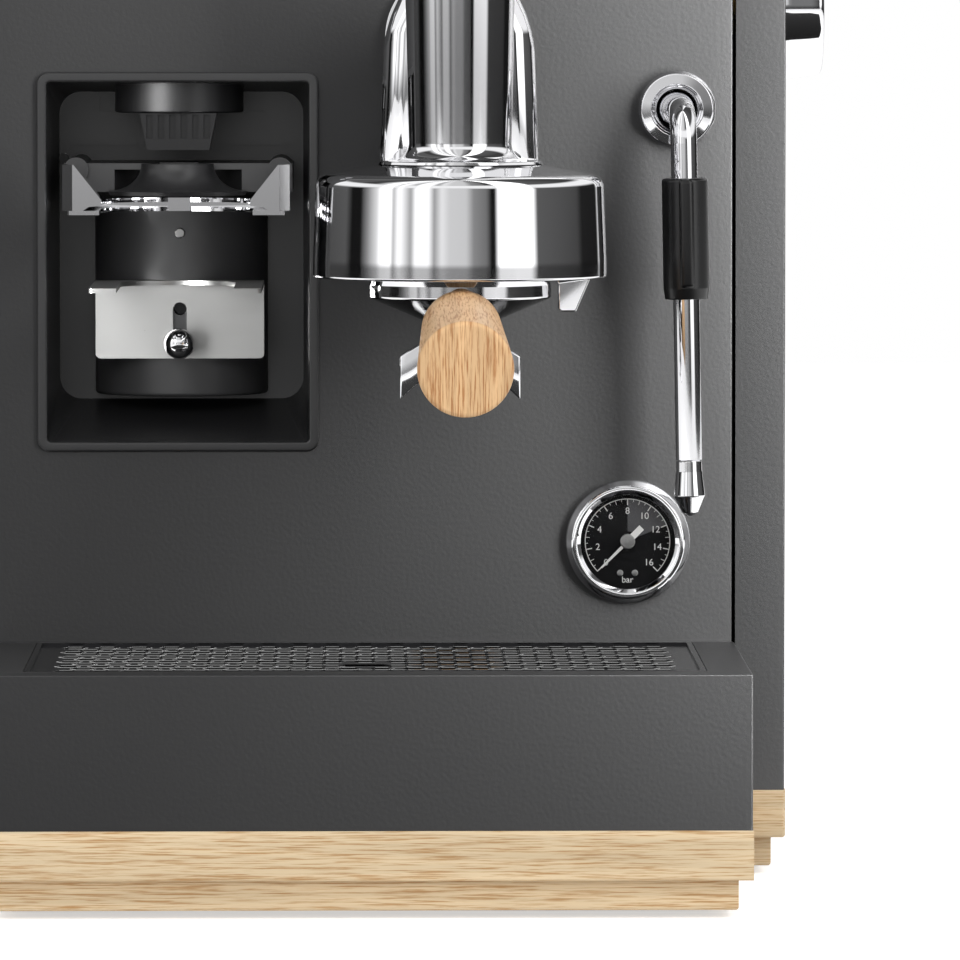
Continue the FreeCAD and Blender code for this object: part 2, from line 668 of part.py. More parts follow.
def chute():
    """Slotted chute from the hood down to the slot of the dosing funnel."""
    depth = 0.5 * CHUTE_DEPTH
    low = 0.5 * CHUTE_LOW_WIDTH
    top = 0.5 * CHUTE_TOP_WIDTH
    wall = CHUTE_WALL
    body = chute_span((-low, low), (-top, top), (-depth, depth), (CHUTE_BOTTOM, HOOD_BOTTOM))
    inner = (wall - low, low - wall)
    body = body.cut(chute_span(inner, inner, (wall - depth, depth - wall), (CHUTE_BOTTOM, HOOD_BOTTOM)))
    for i in range(CHUTE_SLOTS):
        x = (i - 0.5 * (CHUTE_SLOTS - 1)) * CHUTE_SLOT_PITCH
        wide = (x - 0.5 * CHUTE_SLOT, x + 0.5 * CHUTE_SLOT)
        tall = (CHUTE_SLOT_BOTTOM, HOOD_BOTTOM - 0.6)
        body = body.cut(chute_span(wide, wide, (-depth - 1, -depth + 1.4), tall))
    return body


def dosing_funnel():
    back = PANEL_Y + BAY_DEPTH
    plate = block((BAY_X - FUNNEL_HALF, BAY_X + FUNNEL_HALF), (PANEL_Y + 6, back),
                  (FUNNEL_LOW + 1, FUNNEL_TOP))
    flare = []
    for i in range(9):
        t = i / 8.0
        radius = FUNNEL_NECK + (FUNNEL_MOUTH - FUNNEL_NECK) * (1 - math.cos(0.5 * math.pi * t))
        flare.append((radius,
                      FUNNEL_TOP + (FUNNEL_LOW + 1.6 - FUNNEL_TOP) * math.sin(0.5 * math.pi * t)))
    profile = [(FUNNEL_NECK - 2.5, FUNNEL_TOP)] + flare
    profile += [(FUNNEL_MOUTH - 0.8, FUNNEL_LOW), (FUNNEL_MOUTH - 4, FUNNEL_LOW),
                (FUNNEL_NECK - 2.5, FUNNEL_TOP - 8)]
    cone = turned(profile, BAY_X, FORK_Y)
    clear = rod(FUNNEL_MOUTH - 0.5, (BAY_X, FORK_Y, FUNNEL_LOW - 1), (0, 0, 1),
                FUNNEL_TOP - FUNNEL_LOW - 1.5)
    funnel = plate.cut(clear).fuse(cone)
    bridge = block((BAY_X - 12, BAY_X + 12), (FORK_Y + FUNNEL_NECK - 1, PANEL_Y + 20),
                   (FUNNEL_TOP - 2, FUNNEL_TOP))
    inlet = block((BAY_X - 8, BAY_X + 8), (FORK_Y, CHUTE_Y + CHUTE_BORE), (FUNNEL_LOW - 1, FUNNEL_TOP + 1))
    funnel = funnel.fuse(bridge).cut(inlet)
    for side in (-1, 1):
        boss = rod(BOSS_RADIUS, (BAY_X + side * 41.0, PANEL_Y + 4, FUNNEL_TOP - 2.6), (0, 1, 0),
                   back - PANEL_Y - 4)
        funnel = funnel.fuse(boss)
    return funnel.removeSplitter()


def bay_sensor():
    back = PANEL_Y + BAY_DEPTH
    return rod(SENSOR_RADIUS, (BAY_X - SENSOR_X, back - 4, SENSOR_Z), (0, 1, 0), 4 + BAY_WALL)


def group_bell():
    slope = (BELL_TOP - BELL_SHOULDER) / (BELL_TOP_RADIUS - BELL_HOLE)
    drop = BELL_WALL * math.hypot(1, slope)
    inner = BELL_TOP_RADIUS - BELL_WALL
    outline = [(BELL_LOW_RADIUS, BELL_LOW), (BELL_TOP_RADIUS, BELL_SHOULDER), (BELL_HOLE, BELL_TOP)]
    outline += [(BELL_HOLE, BELL_TOP - drop), (inner, BELL_SHOULDER - drop),
                (BELL_LOW_RADIUS - BELL_WALL, BELL_LOW)]
    bell = turned(outline, GROUP_X, GROUP_Y)
    shoulder = edges_where(bell, lambda p: near(p.z, BELL_SHOULDER))
    bell = bell.makeFillet(3.2, shoulder)
    return bell.makeFillet(0.7, edges_where(bell, lambda p: near(p.z, BELL_LOW)))


def group_neck():
    low = BELL_TOP
    foot = [(0, low), (NECK_FOOT, low), (NECK_FOOT - 1.2, low + 2.2), (NECK_LOW_RADIUS + 6, low + 3.4)]
    foot += [(NECK_LOW_RADIUS + 1.6, low + 5.5), (NECK_LOW_RADIUS, low + 9.5),
             (NECK_TOP_RADIUS, NECK_TOP)]
    for i in range(1, 7):
        angle = math.radians(15 * i)
        foot.append((NECK_TOP_RADIUS * math.cos(angle), NECK_TOP + NECK_DOME * math.sin(angle)))
    foot[-1] = (0, NECK_TOP + NECK_DOME)
    neck = turned(foot, GROUP_X, GROUP_Y)
    rise = NECK_TOP - WING_SHOULDER
    outline = [(WING_LOW_HALF - 0.6, low + 0.2), (WING_HIGH_HALF, WING_SHOULDER),
               (WING_HIGH_HALF - 0.46 * rise, NECK_TOP)]
    outline += [(-x, z) for x, z in reversed(outline)]
    wings = front_prism([(GROUP_X + x, z) for x, z in outline], GROUP_Y + WING_FRONT,
                        GROUP_Y + WING_BACK)
    sides = edges_where(wings, lambda p: abs(p.x - GROUP_X) > 15 and low + 1 < p.z < NECK_TOP - 1
                        and (near(p.y, GROUP_Y + WING_FRONT) or near(p.y, GROUP_Y + WING_BACK)))
    wings = wings.makeFillet(4.5, sides)
    arm = rod(ARM_RADIUS, (GROUP_X, GROUP_Y, ARM_Z), (0, 1, 0), PANEL_Y - GROUP_Y)
    flange = rod(ARM_FLANGE, (GROUP_X, PANEL_Y - 4, ARM_Z), (0, 1, 0), 4)
    flange = flange.makeFillet(1.5, edges_where(flange, lambda p: near(p.y, PANEL_Y - 4)))
    spigot = rod(SPIGOT_RADIUS, (GROUP_X, PANEL_Y - 4, ARM_Z), (0, 1, 0), BOILER_FRONT - PANEL_Y + 4)
    return neck.fuse([wings, arm, flange, spigot]).removeSplitter()


def group_core():
    inner = BELL_TOP_RADIUS - BELL_WALL - 2
    profile = [(0, CORE_BOTTOM), (inner, CORE_BOTTOM), (inner, CORE_BOTTOM + 8),
               (BELL_HOLE - 0.4, CORE_BOTTOM + 14)]
    profile += [(BELL_HOLE - 0.4, BELL_TOP), (0, BELL_TOP)]
    return turned(profile, GROUP_X, GROUP_Y)


def lock_ring():
    outer = BELL_LOW_RADIUS - BELL_WALL - 0.6
    ledge = LOCK_LOW + LOCK_LEDGE
    profile = [(LOCK_INNER, LOCK_LOW), (outer, BELL_LOW - 0.2), (outer, BELL_LOW + 4),
               (outer - 3, CORE_BOTTOM)]
    profile += [(LOCK_CHANNEL, CORE_BOTTOM), (LOCK_CHANNEL, ledge), (LOCK_INNER, ledge)]
    return turned(profile, GROUP_X, GROUP_Y)


def lock_stop():
    """Stop for the portafilter, hanging below the lock ring at its right."""
    top = LOCK_LOW - 0.1
    y = (GROUP_Y - 3, GROUP_Y + 13)
    outline = [(51, top + 2.2), (45.5, top - 10.6), (39.6, top - 10.6), (38.6, top - 9.6),
               (38.6, top + 0.1)]
    stop = front_prism([(GROUP_X + x, z) for x, z in outline], *y)
    stop = stop.makeFillet(0.6, edges_where(stop, lambda p: near(p.y, y[0]) and p.z < top))
    ring = turned([(0, LOCK_LOW), (LOCK_INNER, LOCK_LOW), (60, BELL_LOW - 0.2 + 0.9), (60, 260),
                   (0, 260)], GROUP_X, GROUP_Y)
    return stop.cut(lock_ring()).cut(ring)


def group_gasket():
    return tube(36.0, 29.6, (GROUP_X, GROUP_Y, CORE_BOTTOM - GASKET_THICK), (0, 0, 1), GASKET_THICK)


def shower_screen():
    low = CORE_BOTTOM - GASKET_THICK
    screen = rod(29.0, (GROUP_X, GROUP_Y, low), (0, 0, 1), GASKET_THICK)
    return screen.cut(rod(27.6, (GROUP_X, GROUP_Y, low + 1.2), (0, 0, 1), GASKET_THICK))


def handle_axis():
    drop = math.radians(HANDLE_DROP_DEG)
    start = V(GROUP_X, GROUP_Y - HANDLE_START, HANDLE_START_Z)
    return start, V(0, -math.cos(drop), -math.sin(drop))


def portafilter_body():
    """Ring with two bayonet ears, conical bowl and the cast arm that carries the handle."""
    rim = FILTER_RADIUS
    profile = [(FILTER_INNER, FILTER_TOP), (rim, FILTER_TOP), (rim, FILTER_LOW + 1.6),
               (rim - 1.4, FILTER_LOW)]
    profile += [(rim - 3.2, FILTER_LOW - 3.2), (13.0, BOWL_BOTTOM), (11.0, BOWL_BOTTOM - 5)]
    profile += [(4.0, BOWL_BOTTOM - 5), (4.0, BOWL_BOTTOM + 1.6)]
    profile += [(FILTER_INNER - 3, FILTER_LOW - 2), (FILTER_INNER, FILTER_LOW + 1)]
    body = turned(profile, GROUP_X, GROUP_Y)
    bottom = FILTER_TOP - EAR_THICK
    for turn in (0, 180):
        wedge = [(0, 0)]
        for i in range(9):
            angle = math.radians(turn + EAR_ANGLE * (i / 8.0 - 0.5))
            wedge.append((60 * math.cos(angle), 60 * math.sin(angle)))
        sector = plan_prism([(GROUP_X + x, GROUP_Y + y) for x, y in wedge], bottom, FILTER_TOP)
        ear = tube(EAR_RADIUS, FILTER_RADIUS - 2, (GROUP_X, GROUP_Y, bottom), (0, 0, 1), EAR_THICK)
        body = body.fuse(ear.common(sector))
    start, along = handle_axis()
    root = start - along * 22
    arm = Part.makeCone(9.0, 11.0, 22, root, along)
    inside = [(0, BOWL_BOTTOM + 1.6), (4, BOWL_BOTTOM + 1.6), (FILTER_INNER - 3, FILTER_LOW - 2)]
    inside += [(FILTER_INNER, FILTER_LOW + 1), (FILTER_INNER, FILTER_TOP + 1), (0, FILTER_TOP + 1)]
    hollow = turned(inside, GROUP_X, GROUP_Y)
    body = body.fuse(arm.cut(hollow))
    return body.removeSplitter()


def filter_basket():
    top = FILTER_TOP
    step = FILTER_LOW + 1.2
    r = BASKET_RADIUS
    s = BASKET_SHEET
    low = BOWL_BOTTOM + 5.6
    profile = [(r - s, top + s), (r + 4, top + s), (r + 4, top), (r, top), (r, step), (14, low),
               (0, low)]
    profile += [(0, low + s), (14 - 0.3 * s, low + s), (r - s, step + 0.6 * s)]
    return turned(profile, GROUP_X, GROUP_Y)


def handle():
    start, along = handle_axis()
    wood = Part.makeCone(HANDLE_THIN, HANDLE_THICK, HANDLE_LENGTH, start, along)
    end = start + along * HANDLE_LENGTH
    wood = wood.makeFillet(1.6, edges_where(wood, lambda p: (p - end).Length < HANDLE_THICK + 1))
    wood = wood.makeFillet(3.0, edges_where(wood, lambda p: (p - start).Length < HANDLE_THIN + 1))
    return wood


def twin_spout():
    """Arched double spout, open below at both ends."""
    top = BOWL_BOTTOM - 5
    low = SPOUT_LOW
    half = SPOUT_HALF
    y = (GROUP_Y - 0.5 * SPOUT_DEPTH, GROUP_Y + 0.5 * SPOUT_DEPTH)
    outer = [(half, low), (half, low + 14.4), (half - 0.7, low + 15.8), (half - 2, low + 16.8)]
    outer += [(half - 7, low + 19.2), (11, low + 21), (11, top)]
    arch = [(0, low + 11.4), (5, low + 11), (10, low + 9.4), (14.4, low + 7), (18.4, low + 3.6),
            (half - 1, low)]
    right = list(reversed(outer)) + list(reversed(arch))
    left = [(-x, z) for x, z in reversed(right[:-1])]
    spout = front_prism([(GROUP_X + x, z) for x, z in right + left], *y)
    plan = block((GROUP_X - half, GROUP_X + half), y, (low, top))
    corners = edges_where(plan, lambda p: near(p.z, 0.5 * (low + top)))
    spout = spout.common(plan.makeFillet(2.5, corners))
    for side in (-1, 1):
        x = sorted((GROUP_X + side * 13, GROUP_X + side * (half - SPOUT_WALL)))
        spout = spout.cut(block(x, (y[0] + SPOUT_WALL, y[1] - SPOUT_WALL), (low - 1, low + 12)))
    return spout


def wand_flange():
    front = PANEL_Y - WAND_FLANGE_PROUD
    r = WAND_FLANGE
    rear = PANEL_Y + 12.0
    profile = [(0, front + 1.4), (9.4, front + 1.4), (9.4, front), (10.2, front),
               (r - 2.2, PANEL_Y - 3.6), (r - 0.6, PANEL_Y - 3)]
    profile += [(r, PANEL_Y - 2.2), (r, PANEL_Y), (WAND_SLEEVE, PANEL_Y), (WAND_SLEEVE, rear),
                (0, rear)]
    flange = turned_front(profile, WAND_X, WAND_Z)
    flange = flange.cut(Part.makeSphere(WAND_BALL + 0.3, V(WAND_X, BALL_Y, WAND_Z)))
    flange = flange.cut(rod(WAND_MOUTH, (WAND_X, front - 1, WAND_Z), (0, 1, 0), WAND_FLANGE_PROUD))
    flange = flange.cut(rod(WAND_SLEEVE - 1.4, (WAND_X, BALL_Y + 1, WAND_Z), (0, 1, 0), 9))
    return flange.cut(rod(3.0, (WAND_X, rear - 8, WAND_Z), (0, 1, 0), 10))


def wand_seat():
    ring = rod(WAND_SLEEVE - 1.45, (WAND_X, BALL_Y + 1.3, WAND_Z), (0, 1, 0), 8)
    ring = ring.cut(Part.makeSphere(WAND_BALL + 0.05, V(WAND_X, BALL_Y, WAND_Z)))
    return ring.cut(rod(3.2, (WAND_X, BALL_Y, WAND_Z), (0, 1, 0), 20))


def leaned(shape):
    centre = V(WAND_X, BALL_Y, WAND_Z)
    shape.rotate(centre, V(0, 1, 0), -WAND_LEAN_DEG)
    shape.rotate(centre, V(0, 0, 1), WAND_YAW_DEG)
    return shape


def wand_run():
    y = PANEL_Y - WAND_REACH
    return [(WAND_X, BALL_Y - 4, WAND_Z), (WAND_X, y, WAND_Z), (WAND_X, y, TIP_TOP)]


def wand_tube():
    bar = pipe(wand_run(), WAND_RADIUS, WAND_BEND)
    ball = Part.makeSphere(WAND_BALL, V(WAND_X, BALL_Y, WAND_Z))
    return leaned(bar.fuse(ball))


def wand_grip():
    y = PANEL_Y - WAND_REACH
    grip = rod(GRIP_RADIUS, (WAND_X, y, GRIP_BOTTOM), (0, 0, 1), GRIP_TOP - GRIP_BOTTOM)
    grip = grip.makeFillet(1.4, edges_where(grip, lambda p: near(p.z, GRIP_TOP)))
    grip = grip.makeFillet(3.0, edges_where(grip, lambda p: near(p.z, GRIP_BOTTOM)))
    rib = block((WAND_X - 1.1, WAND_X + 1.1), (y - GRIP_RADIUS - 0.9, y),
                (GRIP_BOTTOM + 6, GRIP_TOP - 3))
    grip = grip.fuse(rib)
    bore = rod(WAND_RADIUS + 0.08, (WAND_X, y, GRIP_BOTTOM - 1), (0, 0, 1), GRIP_TOP - GRIP_BOTTOM + 2)
    return leaned(grip.cut(bore))


def wand_tip():
    y = PANEL_Y - WAND_REACH
    profile = [(0, TIP_TOP), (WAND_RADIUS - 0.4, TIP_TOP), (WAND_RADIUS, TIP_TOP - 0.4),
               (WAND_RADIUS + 0.1, TIP_TOP - 4)]
    profile += [(TIP_RADIUS - 0.1, TIP_WIDE_Z + 1.6), (TIP_RADIUS, TIP_WIDE_Z),
                (TIP_RADIUS - 0.5, TIP_WIDE_Z - 1.2)]
    profile += [(3.2, TIP_BOTTOM + 0.5), (2.7, TIP_BOTTOM), (0, TIP_BOTTOM)]
    tip = turned(profile, WAND_X, y)
    for k in range(4):
        angle = math.radians(45 + 90 * k)
        out = (math.cos(angle), math.sin(angle), -1.2)
        tip = tip.cut(rod(0.6, (WAND_X, y, TIP_BOTTOM + 7), out, 12))
    return leaned(tip)


def gauge_case():
    face_y = PANEL_Y - 0.6
    case = rod(GAUGE_CASE, (GAUGE_X, face_y, GAUGE_Z), (0, 1, 0), 26)
    case = case.fuse(tube(GAUGE_CASE, DIAL_RADIUS + 0.1, (GAUGE_X, PANEL_Y - 4.4, GAUGE_Z), (0, 1, 0),
                          3.8))
    case = case.fuse(rod(5.0, (GAUGE_X, face_y + 26, GAUGE_Z), (0, 1, 0), 12))
    return case.cut(rod(0.9, (GAUGE_X, face_y - 1, GAUGE_Z), (0, 1, 0), 4)).removeSplitter()


def gauge_dial():
    dial = rod(DIAL_RADIUS, (GAUGE_X, PANEL_Y - 1.2, GAUGE_Z), (0, 1, 0), 0.6)
    return dial.cut(rod(0.9, (GAUGE_X, PANEL_Y - 3, GAUGE_Z), (0, 1, 0), 6))


def gauge_bezel():
    r = GAUGE_RADIUS
    bore = GAUGE_CASE + 0.1
    front = PANEL_Y - GAUGE_PROUD
    lip = PANEL_Y - 5.7
    profile = [(r, PANEL_Y), (r, PANEL_Y - 3.2), (r - 0.8, PANEL_Y - 5.4), (r - 2.6, front + 0.4),
               (r - 4.2, front)]
    profile += [(DIAL_RADIUS - 0.2, lip - 0.6), (DIAL_RADIUS - 0.2, lip), (bore, lip), (bore, PANEL_Y)]
    return turned_front(profile, GAUGE_X, GAUGE_Z)


def gauge_glass():
    return rod(GAUGE_CASE, (GAUGE_X, PANEL_Y - 5.65, GAUGE_Z), (0, 1, 0), 1.25)


def gauge_needle():
    """Needle with broad tail and hub, pointing up, then turned to zero."""
    y = (PANEL_Y - 3.4, PANEL_Y - 2.9)
    outline = [(-0.35, NEEDLE_LENGTH), (0.35, NEEDLE_LENGTH), (0.7, 0), (1.3, -2), (1.3, -8),
               (-1.3, -8), (-1.3, -2), (-0.7, 0)]
    needle = front_prism([(GAUGE_X + x, GAUGE_Z + z) for x, z in outline], *y)
    hub = rod(3.0, (GAUGE_X, PANEL_Y - 3.7, GAUGE_Z), (0, 1, 0), 1.2)
    pivot = rod(0.8, (GAUGE_X, PANEL_Y - 3, GAUGE_Z), (0, 1, 0), 4)
    needle = needle.fuse([hub, pivot])
    needle.rotate(V(GAUGE_X, 0, GAUGE_Z), V(0, 1, 0), NEEDLE_REST_DEG)
    return needle


def steam_valve():
    x0 = WAND_X - 6.5
    valve = rod(VALVE_RADIUS, (x0, VALVE_Y, VALVE_Z), (1, 0, 0), BODY_HALF - SHEET - x0)
    valve = valve.cut(rod(SPINDLE_RADIUS + 0.06, (x0 + 24, VALVE_Y, VALVE_Z), (1, 0, 0), 60))
    low = block((x0, BODY_HALF), (VALVE_Y - 20, VALVE_Y + 20),
                (VALVE_Z - 2 * VALVE_RADIUS, VALVE_Z - VALVE_RADIUS + 0.6))
    outlet = rod(5, (WAND_X, VALVE_Y, VALVE_Z - VALVE_RADIUS), (0, 0, 1), VALVE_RADIUS)
    return valve.cut(low).fuse(outlet).removeSplitter()


def valve_spindle():
    x0 = WAND_X - 6.5 + 26
    return rod(SPINDLE_RADIUS, (x0, VALVE_Y, VALVE_Z), (1, 0, 0), BODY_HALF + 12 - x0)


def steam_knob():
    x0 = BODY_HALF + 0.5
    knob = Part.makeCone(STEAM_KNOB_RADIUS, STEAM_KNOB_TIP, STEAM_KNOB_LENGTH, V(x0, VALVE_Y, VALVE_Z),
                         V(1, 0, 0))
    outer = x0 + STEAM_KNOB_LENGTH
    knob = knob.makeFillet(2.6, edges_where(knob, lambda p: near(p.x, outer)))
    knob = knob.makeFillet(0.6, edges_where(knob, lambda p: near(p.x, x0)))
    knob = knob.cut(Part.makeSphere(6.0, V(outer + 4.8, VALVE_Y, VALVE_Z + 18)))
    return knob.cut(rod(SPINDLE_RADIUS, (x0 - 1, VALVE_Y, VALVE_Z), (1, 0, 0), 12.5))


def boiler():
    shell = rod(BOILER_RADIUS, (BOILER_X, BOILER_FRONT, BOILER_Z), (0, 1, 0), BOILER_LENGTH)
    w = BOILER_WALL
    room = rod(BOILER_RADIUS - w, (BOILER_X, BOILER_FRONT + w, BOILER_Z), (0, 1, 0),
               BOILER_LENGTH - 2 * w)
    return shell.cut(room)


def boiler_stand():
    plates = []
    for y in (BOILER_FRONT + 20, BOILER_FRONT + BOILER_LENGTH - 20):
        plate = block((BOILER_X - 38, BOILER_X + 38), (y - 1.5, y + 1.5),
                      (BASE_TOP + SHEET, BOILER_Z - 20))
        plate = plate.cut(rod(BOILER_RADIUS, (BOILER_X, y - 5, BOILER_Z), (0, 1, 0), 10))
        foot = block((BOILER_X - 38, BOILER_X + 38), (y - 1.5, y + 18),
                     (BASE_TOP + SHEET, BASE_TOP + SHEET + 3))
        plates.append(plate.fuse(foot).removeSplitter())
    return Part.makeCompound(plates)


def pump_spot():
    return PUMP_X, PANEL_Y + PUMP_GAP, BASE_TOP + SHEET + PUMP_RADIUS + 4


def pump():
    x, y, z = pump_spot()
    body = rod(PUMP_RADIUS, (x, y, z), (0, 1, 0), 0.6 * PUMP_LENGTH)
    outlet = rod(0.6 * PUMP_RADIUS, (x, y, z), (0, 1, 0), PUMP_LENGTH)
    foot = block((x - 26, x + 26), (y + 8, y + 0.6 * PUMP_LENGTH - 8), (BASE_TOP + SHEET, z - 8))
    return body.fuse([outlet, foot]).removeSplitter()


def water_tank():
    z = (BASE_TOP + SHEET, BODY_TOP - LID_THICK)
    w = TANK_WALL
    tank = block(TANK_X, TANK_Y, z)
    room = block((TANK_X[0] + w, TANK_X[1] - w), (TANK_Y[0] + w, TANK_Y[1] - w), (z[0] + w, z[1] + 1))
    return tank.cut(room)


def tank_lid():
    return block(TANK_X, TANK_Y, (BODY_TOP - LID_THICK, BODY_TOP))


def gearbox_top():
    return bay_cutout(0)[1][1] + GEARBOX_HEIGHT


def grinder_motor():
    top = bay_cutout(0)[1][1]
    motor = rod(MOTOR_RADIUS, (BAY_X, MOTOR_Y, MOTOR_BOTTOM), (0, 0, 1), top - MOTOR_BOTTOM)
    motor = motor.makeFillet(4.0, edges_where(motor, lambda p: near(p.z, MOTOR_BOTTOM)))
    outline = [(-38, 4), (38, 4), (38, 150), (26, 160), (-26, 160), (-38, 150)]
    gears = plan_prism([(BAY_X + x, PANEL_Y + y) for x, y in outline], top, top + GEARBOX_HEIGHT)
    return motor.fuse(gears).removeSplitter()


def burr_housing():
    z = gearbox_top()
    top = z + BURR_HEIGHT
    bore = BURR_HOUSING - 6
    throat = z + 0.77 * BURR_HEIGHT
    skirt = z + 0.31 * BURR_HEIGHT
    profile = [(BURR_HOUSING, z), (BURR_HOUSING, top), (bore, top), (bore, throat), (14.5, throat)]
    profile += [(24.5, skirt), (bore, skirt), (bore, z)]
    return turned(profile, BAY_X, BURR_Y)


def cone_burr():
    z = gearbox_top()
    tip = z + 0.85 * BURR_HEIGHT
    profile = [(0, z + 0.3), (20, z + 0.3), (23.9, z + 0.31 * BURR_HEIGHT), (13.9, z + 0.77 * BURR_HEIGHT)]
    profile += [(6, tip), (0, tip)]
    return turned(profile, BAY_X, BURR_Y)


def hopper():
    low = gearbox_top() + BURR_HEIGHT
    r = HOPPER_RADIUS
    w = HOPPER_WALL
    top = BODY_TOP + 1.5
    neck = 18.0
    cone = 0.66 * (BODY_TOP - low)
    profile = [(neck, low), (neck + w, low), (r, low + cone), (r, BODY_TOP), (r + 5, BODY_TOP), (r + 5, top)]
    profile += [(r - w, top), (r - w, low + cone + 1)]
    return turned(profile, BAY_X, BURR_Y)


def hopper_lid():
    low = BODY_TOP + 1.5
    plug = HOPPER_RADIUS - HOPPER_WALL - 0.4
    rim = HOPPER_RADIUS + 6
    profile = [(0, low - 4), (plug, low - 4), (plug, low), (rim, low), (rim, low + HOPPER_LID),
               (0, low + HOPPER_LID)]
    lid = turned(profile, BAY_X, BURR_Y)
    return lid.makeFillet(1.4, edges_where(lid, lambda p: near(p.z, low + HOPPER_LID)))


def button(index):
    front = PANEL_Y - BUTTON_PROUD
    cap = rod(BUTTON_RADIUS, (BUTTON_X[index], front, BUTTON_Z), (0, 1, 0), BUTTON_PROUD + 8)
    return cap.makeFillet(0.8, edges_where(cap, lambda p: near(p.y, front)))


def button_block():
    x = (BUTTON_X[0] - 13, BUTTON_X[-1] + 13)
    body = block(x, (PANEL_Y + SHEET, PANEL_Y + 13), (BUTTON_Z - 11, BUTTON_Z + 11))
    for bx in BUTTON_X:
        body = body.cut(rod(BUTTON_RADIUS + 0.25, (bx, PANEL_Y, BUTTON_Z), (0, 1, 0), 11.5))
    return body


def power_inlet():
    """Rear unit with the socket for a mains lead and the frame of the rocker switch."""
    rear = BODY_REAR_Y - SHEET
    x = (INLET_X - 24, SWITCH_X + 14)
    z = (POWER_Z - 16.5, POWER_Z + 16.5)
    flange = block(x, (rear, rear + 2.5), z)
    flange = flange.makeFillet(4.0, edges_where(flange, lambda p: near(p.y, rear + 1.25)))
    body = block((x[0] + 8, x[1] - 3.4), (rear - 22, rear), (z[0] + 2.9, z[1] - 2.9))
    socket = block((INLET_X - 12, INLET_X + 12), (rear - 15, rear + 5), (POWER_Z - 8.2, POWER_Z + 8.2))
    well = block((SWITCH_X - 8, SWITCH_X + 8), (rear - 12, rear + 5), (POWER_Z - 12, POWER_Z + 12))
    inlet = flange.fuse(body).cut(socket).cut(well)
    for bx, bz in ((-7, -2.5), (7, -2.5), (0, 2.5)):
        blade_x = (INLET_X + bx - 1, INLET_X + bx + 1)
        blade = block(blade_x, (rear - 16, rear - 3), (POWER_Z + bz - 2, POWER_Z + bz + 2))
        inlet = inlet.fuse(blade)
    return inlet.removeSplitter()


def switch_rocker():
    """Rocker tipped by its pin in the middle of the frame."""
    pivot = BODY_REAR_Y - SHEET - 4
    half = 11.2
    outline = [(-half, 2.6), (-half + 1, 6.2), (0, 4.2), (half - 1, 2.2), (half, -1.4), (2.5, -5.5),
               (-2.5, -5.5)]
    points = [(SWITCH_X - 7.7, pivot + y, POWER_Z + z) for z, y in outline]
    rocker = face(points).extrude(V(15.4, 0, 0))
    return rocker


PIECES = {
    "base_upper": base_upper,
    "base_lower": base_lower,
    "feet": feet,
    "chassis": chassis,
    "front_panel": front_panel,
    "left_panel": lambda: side_panel(-1),
    "right_panel": lambda: side_panel(1),
    "top_panel": top_panel,
    "rear_panel": rear_panel,
    "drip_tray": drip_tray,
    "drip_grate": drip_grate,
    "bay_liner": bay_liner,
    "grinder_column": grinder_column,
    "grind_pin": grind_pin,
    "guide_fork": guide_fork,
    "rest_fork": rest_fork,
    "clamp_knob": clamp_knob,
    "chute_hood": chute_hood,
    "chute": chute,
    "dosing_funnel": dosing_funnel,
    "bay_sensor": bay_sensor,
    "group_bell": group_bell,
    "group_neck": group_neck,
    "group_core": group_core,
    "lock_ring": lock_ring,
    "lock_stop": lock_stop,
    "group_gasket": group_gasket,
    "shower_screen": shower_screen,
    "portafilter_body": portafilter_body,
    "filter_basket": filter_basket,
    "handle": handle,
    "twin_spout": twin_spout,
    "wand_flange": wand_flange,
    "wand_seat": wand_seat,
    "wand_tube": wand_tube,
    "wand_grip": wand_grip,
    "wand_tip": wand_tip,
    "gauge_case": gauge_case,
    "gauge_dial": gauge_dial,
    "gauge_bezel": gauge_bezel,
    "gauge_glass": gauge_glass,
    "gauge_needle": gauge_needle,
    "steam_valve": steam_valve,
    "valve_spindle": valve_spindle,
    "steam_knob": steam_knob,
    "boiler": boiler,
    "boiler_stand": boiler_stand,
    "pump": pump,
    "water_tank": water_tank,
    "tank_lid": tank_lid,
    "grinder_motor": grinder_motor,
    "burr_housing": burr_housing,
    "cone_burr": cone_burr,
    "hopper": hopper,
    "hopper_lid": hopper_lid,
    "brew_button": lambda: button(0),
    "water_button": lambda: button(1),
    "button_block": button_block,
    "power_inlet": power_inlet,
    "switch_rocker": switch_rocker,
}

for name, make in PIECES.items():
    make().exportStep("parts/" + name + ".step")
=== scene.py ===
"""Looks of the espresso machine: turned chrome, wood, paint and the printed gauge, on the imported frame."""

import json
import math

import bpy
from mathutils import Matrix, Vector


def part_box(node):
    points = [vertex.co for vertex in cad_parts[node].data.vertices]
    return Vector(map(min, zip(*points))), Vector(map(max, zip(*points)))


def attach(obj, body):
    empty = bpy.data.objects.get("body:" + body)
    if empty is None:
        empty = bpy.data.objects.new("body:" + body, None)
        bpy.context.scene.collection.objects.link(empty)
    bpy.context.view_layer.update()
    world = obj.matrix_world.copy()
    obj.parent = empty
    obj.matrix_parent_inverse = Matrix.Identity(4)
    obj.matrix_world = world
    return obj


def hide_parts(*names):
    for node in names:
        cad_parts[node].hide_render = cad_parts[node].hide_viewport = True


bl_info = {
    "name": "Espresso Machine Looks",
    "version": (1, 0, 0),
    "blender": (4, 5, 0),
    "location": "View3D > Sidebar > Espresso",
    "description": "Finishes, turned pieces and studio for the espresso machine",
    "category": "Object",
}

